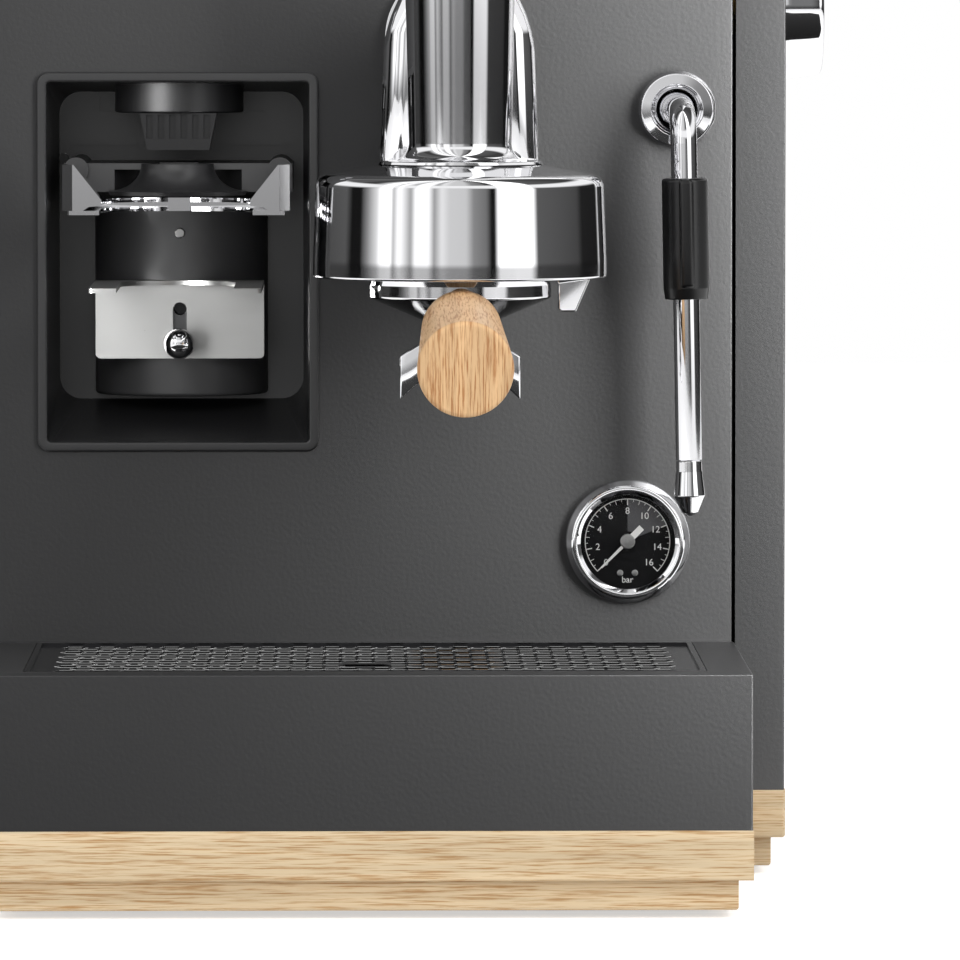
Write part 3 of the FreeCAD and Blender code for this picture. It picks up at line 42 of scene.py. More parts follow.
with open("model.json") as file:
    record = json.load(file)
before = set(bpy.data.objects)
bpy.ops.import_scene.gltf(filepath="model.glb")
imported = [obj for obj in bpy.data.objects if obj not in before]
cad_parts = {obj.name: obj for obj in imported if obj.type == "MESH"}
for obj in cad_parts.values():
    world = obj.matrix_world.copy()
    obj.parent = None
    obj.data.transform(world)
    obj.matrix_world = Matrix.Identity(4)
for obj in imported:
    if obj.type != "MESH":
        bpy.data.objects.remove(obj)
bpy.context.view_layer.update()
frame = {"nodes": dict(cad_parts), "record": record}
MM = 0.001


def centre_of(node):
    low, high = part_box(node)
    return (low + high) / 2


# Places from the frame are in metres, apart from PANEL_Y; sizes that its boxes do not show are in millimetres
PANEL_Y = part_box("front_panel")[0].y / MM
GROUP_AXIS = Vector((centre_of("lock_ring").x, centre_of("lock_ring").y, 0))
GROUP_BELL_RADIUS = 57.7
GROUP_ARM_Z = 338.0
HANDLE_START_Z = 225.8
HANDLE_DROP_DEG = 5.2
WAND_FLANGE = centre_of("wand_flange")
WAND_BALL_PROUD = 1.0
WAND_BALL = Vector((WAND_FLANGE.x, (PANEL_Y - WAND_BALL_PROUD) * MM, WAND_FLANGE.z))
WAND_BALL_Z = 309.2
WAND_TIP_TOP_Z = 170.5
# The tube hangs this far before the ball
WAND_REACH = 40.0 - WAND_BALL_PROUD
WAND_LEAN_DEG = 1.05
WAND_YAW_DEG = 1.7
GAUGE = centre_of("gauge_bezel")
# Last number on the dial, in bar
SCALE_END = 16


def hex_colour(text):
    """sRGB hex to the linear colour that shaders use."""
    channels = [int(text[i:i + 2], 16) / 255 for i in (0, 2, 4)]
    return tuple(c / 12.92 if c <= 0.04045 else ((c + 0.055) / 1.055) ** 2.4 for c in channels) + (1.0,)


class EspressoSizes(bpy.types.PropertyGroup):
    """Sizes that someone may change before the pieces are made."""
    segments: bpy.props.IntProperty(
        name="Segments", description="Sides of a turned piece", default=128, min=24)
    shoulder: bpy.props.FloatProperty(
        name="Bell shoulder", description="Round between the bell's side and its top",
        default=5.0 * MM, unit="LENGTH")
    number_height: bpy.props.FloatProperty(
        name="Number height", description="Height of the printed numbers on the gauge",
        default=2.8 * MM, unit="LENGTH")


class EspressoColours(bpy.types.PropertyGroup):
    """Colours that someone may change, as sRGB hex."""
    oak: bpy.props.StringProperty(name="Oak", description="Mean colour of the boards", default="D9C3A0")
    oak_pores: bpy.props.StringProperty(
        name="Oak pores", description="Colour of the boards' pores", default="B48C5C")
    turned: bpy.props.StringProperty(name="Handle", description="Mean colour of the handle", default="D6B083")
    turned_pores: bpy.props.StringProperty(
        name="Handle pores", description="Colour of the handle's pores", default="A67040")
    paint: bpy.props.StringProperty(
        name="Casing", description="Powder coat of casing and tray", default="1E1E1F")
    plastic: bpy.props.StringProperty(
        name="Black plastic", description="Moulded bay pieces", default="242425")


# Materials

def add_node(tree, kind, settings=None, links=None):
    """One node with its settings on attributes or sockets, and links into its sockets."""
    made = tree.nodes.new(kind)
    for key, value in (settings or {}).items():
        if isinstance(key, str) and hasattr(made, key):
            setattr(made, key, value)
        else:
            made.inputs[key].default_value = value
    for key, source in (links or {}).items():
        tree.links.new(source, made.inputs[key])
    return made


def new_material(name):
    material = bpy.data.materials.new(name)
    material.use_nodes = True
    tree = material.node_tree
    shader = tree.nodes["Principled BSDF"]
    place = add_node(tree, "ShaderNodeTexCoord").outputs["Object"]
    return material, tree, shader, place


def per_mm(size):
    """Texture scale for a feature of that size in millimetres."""
    return 1000.0 / size


def oiled_oak(name, wood, pore, stretch, lean):
    """Planed and oiled oak: pale, with short dark pores and soft bands that run along the board."""
    material, tree, shader, place = new_material(name)
    lie = add_node(tree, "ShaderNodeMapping", {"Scale": stretch, "Rotation": (0, math.radians(lean), 0)},
                   {"Vector": place})
    pores = add_node(tree, "ShaderNodeTexNoise", {"Scale": per_mm(0.6), "Detail": 4.0, "Roughness": 0.6},
                     {"Vector": lie.outputs[0]})
    bands = add_node(tree, "ShaderNodeTexNoise", {"Scale": per_mm(6.0), "Detail": 3.0, "Distortion": 0.8},
                     {"Vector": lie.outputs[0]})
    grain = add_node(tree, "ShaderNodeValToRGB", {}, {"Fac": pores.outputs["Fac"]})
    grain.color_ramp.elements[0].position = 0.36
    grain.color_ramp.elements[1].position = 0.52
    grain.color_ramp.elements[0].color = hex_colour(pore)
    grain.color_ramp.elements[1].color = hex_colour(wood)
    lift = add_node(tree, "ShaderNodeMapRange",
                    {"From Min": 0.3, "From Max": 0.7, "To Min": 0.84, "To Max": 1.1},
                    {"Value": bands.outputs["Fac"]})
    tone = add_node(tree, "ShaderNodeHueSaturation", {},
                    {"Color": grain.outputs[0], "Value": lift.outputs[0]})
    tree.links.new(tone.outputs[0], shader.inputs["Base Color"])
    relief = add_node(tree, "ShaderNodeBump", {"Strength": 0.25, "Distance": 0.15 * MM},
                      {"Height": pores.outputs["Fac"]})
    tree.links.new(relief.outputs[0], shader.inputs["Normal"])
    shader.inputs["Roughness"].default_value = 0.5
    return material


def powder_coat():
    """Fine textured powder coat on sheet steel: dark grey, broken into an even orange peel."""
    colours = bpy.context.scene.espresso_colours
    material, tree, shader, place = new_material("powder_coat_graphite")
    grit = add_node(tree, "ShaderNodeTexNoise", {"Scale": per_mm(1.6), "Detail": 2.0}, {"Vector": place})
    tint = add_node(tree, "ShaderNodeValToRGB", {}, {"Fac": grit.outputs["Fac"]})
    base = hex_colour(colours.paint)
    tint.color_ramp.elements[0].color = tuple(0.92 * c for c in base[:3]) + (1.0,)
    tint.color_ramp.elements[1].color = tuple(1.08 * c for c in base[:3]) + (1.0,)
    tree.links.new(tint.outputs[0], shader.inputs["Base Color"])
    peel = add_node(tree, "ShaderNodeBump", {"Strength": 0.28, "Distance": 0.2 * MM},
                    {"Height": grit.outputs["Fac"]})
    tree.links.new(peel.outputs[0], shader.inputs["Normal"])
    shader.inputs["Roughness"].default_value = 0.46
    return material


def metal(name, colour, rough, mark=2.5, smear=(1, 1, 1)):
    """Bare or plated metal; faint marks of polishing or brushing vary its gloss."""
    material, tree, shader, place = new_material(name)
    shader.inputs["Metallic"].default_value = 1.0
    shader.inputs["Base Color"].default_value = hex_colour(colour)
    lie = add_node(tree, "ShaderNodeMapping", {"Scale": smear}, {"Vector": place})
    marks = add_node(tree, "ShaderNodeTexNoise", {"Scale": per_mm(mark), "Detail": 2.0},
                     {"Vector": lie.outputs[0]})
    gloss = add_node(tree, "ShaderNodeMapRange", {"To Min": 0.85 * rough, "To Max": 1.15 * rough},
                     {"Value": marks.outputs["Fac"]})
    tree.links.new(gloss.outputs[0], shader.inputs["Roughness"])
    return material


def moulded(name, colour, rough, grain, sheen=0.5):
    """Moulded polymer or rubber with a fine spark-eroded grain."""
    material, tree, shader, place = new_material(name)
    shader.inputs["Specular IOR Level"].default_value = sheen
    shader.inputs["Base Color"].default_value = hex_colour(colour)
    grit = add_node(tree, "ShaderNodeTexNoise", {"Scale": per_mm(grain), "Detail": 2.0}, {"Vector": place})
    gloss = add_node(tree, "ShaderNodeMapRange", {"To Min": rough - 0.06, "To Max": rough + 0.06},
                     {"Value": grit.outputs["Fac"]})
    tree.links.new(gloss.outputs[0], shader.inputs["Roughness"])
    relief = add_node(tree, "ShaderNodeBump", {"Strength": 0.05, "Distance": 0.02 * MM},
                      {"Height": grit.outputs["Fac"]})
    tree.links.new(relief.outputs[0], shader.inputs["Normal"])
    return material


def clear_pane():
    """Thin float glass: almost unseen, with a faint gloss."""
    material, tree, shader, place = new_material("clear_glass")
    smudge = add_node(tree, "ShaderNodeTexNoise", {"Scale": per_mm(6.0)}, {"Vector": place})
    gloss = add_node(tree, "ShaderNodeMapRange", {"To Min": 0.02, "To Max": 0.06},
                     {"Value": smudge.outputs["Fac"]})
    tree.links.new(gloss.outputs[0], shader.inputs["Roughness"])
    shader.inputs["Base Color"].default_value = hex_colour("0A0A0A")
    shader.inputs["Alpha"].default_value = 0.05
    return material


def smoked_plastic():
    """Tinted, see-through polycarbonate with a clear gloss."""
    material, tree, shader, place = new_material("smoked_polycarbonate")
    haze = add_node(tree, "ShaderNodeTexNoise", {"Scale": per_mm(8.0)}, {"Vector": place})
    gloss = add_node(tree, "ShaderNodeMapRange", {"To Min": 0.08, "To Max": 0.16},
                     {"Value": haze.outputs["Fac"]})
    tree.links.new(gloss.outputs[0], shader.inputs["Roughness"])
    shader.inputs["Base Color"].default_value = hex_colour("3A3B3E")
    shader.inputs["Alpha"].default_value = 0.72
    return material


def make_materials():
    colours = bpy.context.scene.espresso_colours
    along_x = (0.03, 1, 1)
    along_handle = (1, 0.045, 0.045)
    return {
        "oak_wood": oiled_oak("oiled_oak_board", colours.oak, colours.oak_pores, along_x, 0),
        "oak_turned": oiled_oak("oiled_oak_turned", colours.turned, colours.turned_pores, along_handle, 8),
        "graphite_paint": powder_coat(),
        "chrome": metal("polished_chrome", "E6E6E8", 0.05),
        # Dark chrome that paints shade, on the portafilter's underside and on the grate
        "painted_shade_chrome": metal("dark_chrome_painted_shade", "38383A", 0.14),
        "satin_steel": metal("brushed_stainless_steel", "BEBEBD", 0.3, 0.4, along_x),
        # Darker copy of the brushed stainless for the rest plate: painted shade, on which a near lamp makes
        # its gradient
        "painted_shade_steel": metal("brushed_steel_painted_shade", "8C8C8B", 0.3, 0.4, along_x),
        "bright_steel": metal("bright_rolled_steel", "C4C4C3", 0.1, 0.6),
        "black_plastic": moulded("moulded_black_abs", colours.plastic, 0.36, 0.8),
        # Lighter than the black plastic: partly the column's own grey, partly painted light against the shade
        # in the bay
        "grey_and_lit_plastic": moulded("moulded_grey_abs_and_painted_light", "3A3A3B", 0.42, 0.8),
        "motor_paint": moulded("black_motor_enamel", "2A2A2C", 0.45, 1.2),
        "dial_paint": moulded("matt_black_dial", "181819", 0.75, 0.6, 0.15),
        "needle_white": moulded("white_dial_print", "F2F2F0", 0.75, 0.6, 0.15),
        "dial_grey": moulded("grey_dial_print", "5C5C5E", 0.75, 0.6, 0.15),
        "rubber": moulded("black_silicone_rubber", "0A0A0B", 0.3, 0.7),
        "gauge_pane": clear_pane(),
        "brass": metal("machined_brass", "B9975B", 0.28, 0.6, (1, 1, 0.1)),
        "smoked_plastic": smoked_plastic(),
    }


MATERIALS = {}

# Brightness of the strongest softbox that polished metal sees, where 1 is white
BOX_POWER = 2.4


# Helpers for modelling

def deselect():
    if bpy.context.object and bpy.context.object.mode != "OBJECT":
        bpy.ops.object.mode_set(mode="OBJECT")
    bpy.ops.object.select_all(action="DESELECT")


def pick(piece):
    """Only this object is selected, and it is the active one."""
    deselect()
    piece.select_set(True)
    bpy.context.view_layer.objects.active = piece


def apply_place(piece):
    pick(piece)
    bpy.ops.object.transform_apply(location=True, rotation=True, scale=True)


def put(piece, place, turn=(0, 0, 0)):
    """The piece is turned by three angles and moved, and both are applied to its mesh."""
    piece.rotation_mode = "XYZ"
    piece.rotation_euler = turn
    piece.location = place
    apply_place(piece)
    return piece


def finish_piece(piece, name, material, body, replaced=(), smooth=30.0):
    """Name, finish and body of a piece whose mesh is done."""
    apply_place(piece)
    bpy.ops.object.shade_smooth_by_angle(angle=math.radians(smooth))
    piece.name = name
    piece.data.name = name
    piece.data.materials.clear()
    piece.data.materials.append(MATERIALS[material])
    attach(piece, body)
    if replaced:
        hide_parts(*replaced)
    return piece


def rounded(corners, steps=6):
    """Outline of radius and height; a third number at a corner rounds it by that radius."""
    outline = []
    for i, corner in enumerate(corners):
        here = Vector(corner[:2])
        if len(corner) < 3:
            outline.append(here)
            continue
        back = (Vector(corners[i - 1][:2]) - here).normalized()
        ahead = (Vector(corners[i + 1][:2]) - here).normalized()
        half = 0.5 * back.angle(ahead)
        middle = here + (back + ahead).normalized() * corner[2] / math.sin(half)
        first = here + back * corner[2] / math.tan(half) - middle
        last = here + ahead * corner[2] / math.tan(half) - middle
        for k in range(steps + 1):
            outline.append(middle + corner[2] * first.slerp(last, k / steps))
    return held(outline)


def held(outline):
    """Long straight runs get a ring near each end, so that their shading stays straight."""
    near_end = 0.25 * MM
    made = [outline[0]]
    for start, end in zip(outline, outline[1:]):
        length = (end - start).length
        if length > 8 * near_end:
            made.append(start.lerp(end, near_end / length))
            made.append(start.lerp(end, 1 - near_end / length))
        made.append(end)
    return made


def turned_piece(corners, centre, along=(0, 0, 1), ring=False, steps=6, sides=None):
    """A circle drawn out ring by ring along the outline, then set on its axis."""
    outline = rounded([[v * MM for v in c] for c in corners], steps)
    sides = sides or bpy.context.scene.espresso_sizes.segments
    deselect()
    radius, height = outline[0]
    bpy.ops.mesh.primitive_circle_add(vertices=sides, radius=radius, location=(0, 0, 0))
    piece = bpy.context.object
    bpy.ops.object.mode_set(mode="EDIT")
    bpy.ops.mesh.select_mode(type="VERT")
    bpy.ops.mesh.select_all(action="SELECT")
    bpy.ops.transform.translate(value=(0, 0, height))
    for step in outline[1:]:
        bpy.ops.mesh.extrude_region_move(TRANSFORM_OT_translate={"value": (0, 0, step.y - height)})
        scale = step.x / radius
        bpy.ops.transform.resize(value=(scale, scale, 1), center_override=(0, 0, step.y))
        radius, height = step
    if ring:
        bpy.ops.mesh.select_all(action="DESELECT")
        bpy.ops.mesh.select_non_manifold()
        bpy.ops.mesh.bridge_edge_loops()
    bpy.ops.mesh.select_all(action="SELECT")
    bpy.ops.mesh.fill_holes(sides=0)
    bpy.ops.mesh.remove_doubles(threshold=1e-6)
    bpy.ops.mesh.normals_make_consistent(inside=False)
    bpy.ops.object.mode_set(mode="OBJECT")
    piece.rotation_mode = "QUATERNION"
    piece.rotation_quaternion = Vector(along).to_track_quat("Z", "Y")
    piece.location = centre
    apply_place(piece)
    return piece


def joined(pieces):
    """One object from several that lie in place."""
    deselect()
    for piece in pieces:
        piece.select_set(True)
    bpy.context.view_layer.objects.active = pieces[0]
    bpy.ops.object.join()
    return pieces[0]


def bevelled(piece, width, segments=4, limit=30.0):
    """Edges sharper than the limit get a round of that width in millimetres."""
    pick(piece)
    bevel = piece.modifiers.new("round", "BEVEL")
    bevel.width = width * MM
    bevel.segments = segments
    bevel.limit_method = "ANGLE"
    bevel.angle_limit = math.radians(limit)
    bpy.ops.object.modifier_apply(modifier=bevel.name)
    return piece


def cube_piece(low, high):
    """A cube drawn to its two corners, given in millimetres."""
    deselect()
    low, high = Vector(low) * MM, Vector(high) * MM
    bpy.ops.mesh.primitive_cube_add(size=1, location=(low + high) / 2)
    piece = bpy.context.object
    piece.scale = high - low
    apply_place(piece)
    return piece


def select_none(piece, kind):
    """Nothing of the mesh is selected, and selecting goes by vertices or by faces."""
    pick(piece)
    bpy.ops.object.mode_set(mode="EDIT")
    bpy.ops.mesh.select_mode(type=kind)
    bpy.ops.mesh.select_all(action="DESELECT")
    bpy.ops.object.mode_set(mode="OBJECT")


def select_faces(piece, test):
    """In edit mode, only the faces whose middle in millimetres passes the test are selected."""
    select_none(piece, "FACE")
    for polygon in piece.data.polygons:
        polygon.select = test(polygon.center / MM)
    bpy.ops.object.mode_set(mode="EDIT")


def lift_vertices(piece, test, height):
    """The vertices whose place in millimetres passes the test are moved up by that height."""
    select_none(piece, "VERT")
    for vertex in piece.data.vertices:
        vertex.select = test(vertex.co / MM)
    bpy.ops.object.mode_set(mode="EDIT")
    bpy.ops.transform.translate(value=(0, 0, height * MM))
    bpy.ops.object.mode_set(mode="OBJECT")


class ESPRESSO_OT_finish_frame(bpy.types.Operator):
    """Give every CAD node its material, and smooth its round faces"""
    bl_idname = "espresso.finish_frame"
    bl_label = "Finish the frame"

    # Pieces whose finish differs from the rest of their slot. The grate's dark chrome is a painted dark
    # reflection of the casing. The rest plate's darker steel is painted shade. The column's lighter grey is
    # partly its own grey and partly painted light that offsets the shade in the bay
    special = {"drip_grate": "painted_shade_chrome", "rest_fork": "painted_shade_steel", "grinder_column": "grey_and_lit_plastic"}

    def execute(self, context):
        MATERIALS.update(make_materials())
        for part in frame["record"]["subparts"]:
            node = frame["nodes"][part["node"]]
            finish = self.special.get(part["node"], part["material_slot"])
            node.data.materials.clear()
            node.data.materials.append(MATERIALS[finish])
            for polygon in node.data.polygons:
                polygon.use_smooth = True
            weld = node.modifiers.new("weld", "WELD")
            weld.merge_threshold = 0.005 * MM
            split = node.modifiers.new("edges", "EDGE_SPLIT")
            split.split_angle = math.radians(28)
        return {"FINISHED"}


class ESPRESSO_OT_group_bell(bpy.types.Operator):
    """Chrome bell round the brewing group, open below"""
    bl_idname = "espresso.group_bell"
    bl_label = "Group bell"

    def execute(self, context):
        low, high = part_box("group_bell")
        shoulder = context.scene.espresso_sizes.shoulder / MM
        outer = GROUP_BELL_RADIUS
        bottom, top = low.z / MM, high.z / MM
        step = top - 4.6
        wall = 2.0
        taper = 1.3
        bore = 31.0
        under_top = 2.1
        corners = [(outer - wall, bottom), (outer, bottom, 0.7), (outer, bottom + 6.0, 60.0)]
        corners += [(outer - taper, step, shoulder)]
        corners += [(bore, top), (bore, top - under_top), (outer - taper - wall, step - under_top)]
        piece = turned_piece(corners, GROUP_AXIS, ring=True)
        finish_piece(piece, "bell_polished", "chrome", "machine", replaced=["group_bell"])
        return {"FINISHED"}


class ESPRESSO_OT_group_neck(bpy.types.Operator):
    """Neck of the group: a tall column with a wing at each side and the arm to the casing"""
    bl_idname = "espresso.group_neck"
    bl_label = "Group neck"

    def execute(self, context):
        low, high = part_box("group_neck")
        foot, top = low.z / MM, high.z / MM
        dome = top - 10.0
        corners = [(32.4, foot), (32.0, foot + 1.2, 0.5), (20.2, foot + 1.6, 6.5)]
        corners += [(21.6, dome, 9.0), (0.4, top)]
        column = turned_piece(corners, GROUP_AXIS, steps=14)
        arm_axis = GROUP_AXIS + Vector((0, 0, GROUP_ARM_Z * MM))
        to_casing = (0, 1, 0)
        arm_end = 80.0
        arm = turned_piece([(20.0, 4.0), (20.0, arm_end)], arm_axis, to_casing)
        flange = turned_piece([(29.0, arm_end - 4.0), (29.0, arm_end)], arm_axis, to_casing)
        bevelled(flange, 1.5)
        neck = joined([column, arm, flange, self.wings(foot, dome)])
        finish_piece(neck, "neck_polished", "chrome", "machine", replaced=["group_neck"], smooth=35.0)
        return {"FINISHED"}

    def wings(self, foot, top):
        """Upright slab behind the column, drawn in towards its top."""
        axis = GROUP_AXIS / MM
        shoulder = 341.0
        half_foot, half_shoulder, half_top = 31.8, 29.6, 18.1
        front, back = 14, 46
        low = (axis.x - half_foot, axis.y + front, foot - 7)
        piece = cube_piece(low, (axis.x + half_foot, axis.y + back, shoulder))
        select_faces(piece, lambda p: p.z > shoulder - 0.1)
        middle = (GROUP_AXIS.x, GROUP_AXIS.y + 0.5 * (front + back) * MM, shoulder * MM)
        bpy.ops.transform.resize(value=(half_shoulder / half_foot, 1, 1), center_override=middle)
        bpy.ops.mesh.extrude_region_move(TRANSFORM_OT_translate={"value": (0, 0, (top - shoulder) * MM)})
        bpy.ops.transform.resize(value=(half_top / half_shoulder, 1, 1), center_override=middle)
        bpy.ops.object.mode_set(mode="OBJECT")
        return bevelled(piece, 9.0, 8, 20.0)


class ESPRESSO_OT_portafilter(bpy.types.Operator):
    """Portafilter: turned bowl with its ears and arm, double spout and wooden handle"""
    bl_idname = "espresso.portafilter"
    bl_label = "Portafilter"

    # Heights of the ring's top and of the spout's ends, in millimetres
    ring_top = 249.0
    spout_top = 222.4
    spout_bottom = 196.7
    # One arm of the spout: half its width, its length and the cuts across it, from the axis outwards
    spout_half_width = 8.5
    spout_length = 23.6
    spout_cuts = (11.0, 15.0, 19.0)
    # Where the handle starts before the group's axis, and how long it is
    handle_start = 44.0
    handle_length = 115.0

    def execute(self, context):
        drop = math.radians(HANDLE_DROP_DEG)
        along = Vector((0, -math.cos(drop), -math.sin(drop)))
        start = Vector((GROUP_AXIS.x, GROUP_AXIS.y - self.handle_start * MM, HANDLE_START_Z * MM))
        bowl = self.bowl()
        arm = turned_piece([(9.0, -22.0), (11.0, -0.2)], start, along)
        body = joined([bowl, arm] + [self.ear(side) for side in (-1, 1)])
        finish_piece(body, "portafilter_turned", "chrome", "portafilter", replaced=["portafilter_body"])
        self.darken_underside(body)
        corners = [(13.2, 0.0), (15.4, 0.8, 1.6), (15.6, 4.0)]
        corners += [(18.2, self.handle_length, 1.8), (1.0, self.handle_length)]
        handle = turned_piece(corners, start, along)
        finish_piece(handle, "handle_turned", "oak_turned", "portafilter", ["handle"])
        spout = joined([self.spout(side) for side in (-1, 1)] + [self.spout_hub()])
        finish_piece(spout, "spout_polished", "chrome", "portafilter", replaced=["twin_spout"], smooth=35.0)
        return {"FINISHED"}

    def bowl(self):
        """Ring and conical bowl, open above for the basket."""
        rim, mouth, outlet = 35.8, 30.6, 4.0
        top, low, bottom = self.ring_top, 236.6, 226.8
        nose = bottom - 4.4
        corners = [(mouth, top), (rim, top, 0.5), (rim, low, 1.0)]
        corners += [(12.6, bottom, 2.0), (11.0, nose, 0.5), (outlet, nose), (outlet, bottom + 2.0)]
        corners += [(28.0, low + 1.0), (mouth, low + 3.0)]
        return turned_piece(corners, GROUP_AXIS, ring=True)

    def darken_underside(self, body):
        """Painted shade: the down-facing faces of the body, chiefly the cone under the ring, get a dark
        chrome in place of bright plate.
        """
        body.data.materials.append(MATERIALS["painted_shade_chrome"])
        for polygon in body.data.polygons:
            if polygon.normal.z < -0.5:
                polygon.material_index = 1

    def ear(self, side):
        axis = GROUP_AXIS / MM
        half_width, thick = 13, 3.0
        inner, outer = sorted((axis.x + side * 33.0, axis.x + side * 40.2))
        low = (inner, axis.y - half_width, self.ring_top - thick)
        return bevelled(cube_piece(low, (outer, axis.y + half_width, self.ring_top)), 0.8)

    def spout_hub(self):
        radius = self.spout_half_width
        return turned_piece([(radius, 205.0), (radius, self.spout_top)], GROUP_AXIS)

    def spout(self, side):
        """One arm of the spout: a block sloped above, arched below and hollowed from its mouth."""
        axis = GROUP_AXIS / MM
        low, high, half_width = self.spout_bottom, self.spout_top, self.spout_half_width
        inner, outer = sorted((axis.x, axis.x + side * self.spout_length))
        arm = cube_piece((inner, axis.y - half_width, low), (outer, axis.y + half_width, high))
        pick(arm)
        bpy.ops.object.mode_set(mode="EDIT")
        for place in self.spout_cuts:
            bpy.ops.mesh.select_all(action="SELECT")
            bpy.ops.mesh.bisect(plane_co=((axis.x + side * place) * MM, 0, 0), plane_no=(1, 0, 0))
        bpy.ops.object.mode_set(mode="OBJECT")
        middle = 0.5 * (low + high)
        for place in (0.0, *self.spout_cuts, self.spout_length):
            out = place / self.spout_length
            x = axis.x + side * place
            fall = 8.6 * max(0.0, out - 0.42) / 0.58
            rise = 11.4 * (1.0 - out ** 2.2)
            lift_vertices(arm, lambda p: abs(p.x - x) < 0.1 and p.z > middle, -fall)
            lift_vertices(arm, lambda p: abs(p.x - x) < 0.1 and p.z < middle, rise)
        select_faces(arm, lambda p: p.z < 209 and 12 < abs(p.x - axis.x) < 23 and abs(p.y - axis.y) < 1)
        bpy.ops.mesh.inset(thickness=1.6 * MM)
        bpy.ops.mesh.extrude_region_move(TRANSFORM_OT_translate={"value": (0, 0, 6 * MM)})
        bpy.ops.object.mode_set(mode="OBJECT")
        return bevelled(arm, 2.2, 5, 40.0)


class ESPRESSO_OT_grate_rims(bpy.types.Operator):
    """Pressed rims round the six-sided holes of the grate"""
    bl_idname = "espresso.grate_rims"
    bl_label = "Grate rims"

    # Pattern of the holes in the grate, in millimetres; the finger slot lies slot_row rows before the middle
    pitch = 12.9
    rows = 11
    holes_in_row = 19
    slot_row = 2.6
    plate_below_rim = 1.0

    def execute(self, context):
        low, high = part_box("drip_grate")
        middle = (low + high) / 2
        corners = [(5.0, -0.05), (5.03, 0.09), (5.08, 0.09), (5.16, -0.05)]
        first = turned_piece(corners, (0, 0, 0), ring=True, sides=6)
        put(first, (0, 0, 0), (0, 0, math.radians(30)))
        rims = []
        for x, y in self.holes():
            pick(first)
            place = (middle.x + x * MM, middle.y + y * MM, high.z - self.plate_below_rim * MM)
            bpy.ops.object.duplicate_move(TRANSFORM_OT_translate={"value": place})
            rims.append(context.object)
        bpy.data.objects.remove(first)
        finish_piece(joined(rims), "grate_rims", "bright_steel", "grate")
        return {"FINISHED"}

    def holes(self):
        """Places of the holes about the grate's middle, without those that the finger slot takes."""
        row_pitch = self.pitch * math.sqrt(0.75)
        for row in range(self.rows):
            count = self.holes_in_row - row % 2
            from_middle = row - 0.5 * (self.rows - 1)
            for i in range(count):
                x = (i - 0.5 * (count - 1)) * self.pitch
                if abs(from_middle + self.slot_row) < 1 and abs(x) < 0.6 * self.pitch:
                    continue
                yield x, from_middle * row_pitch


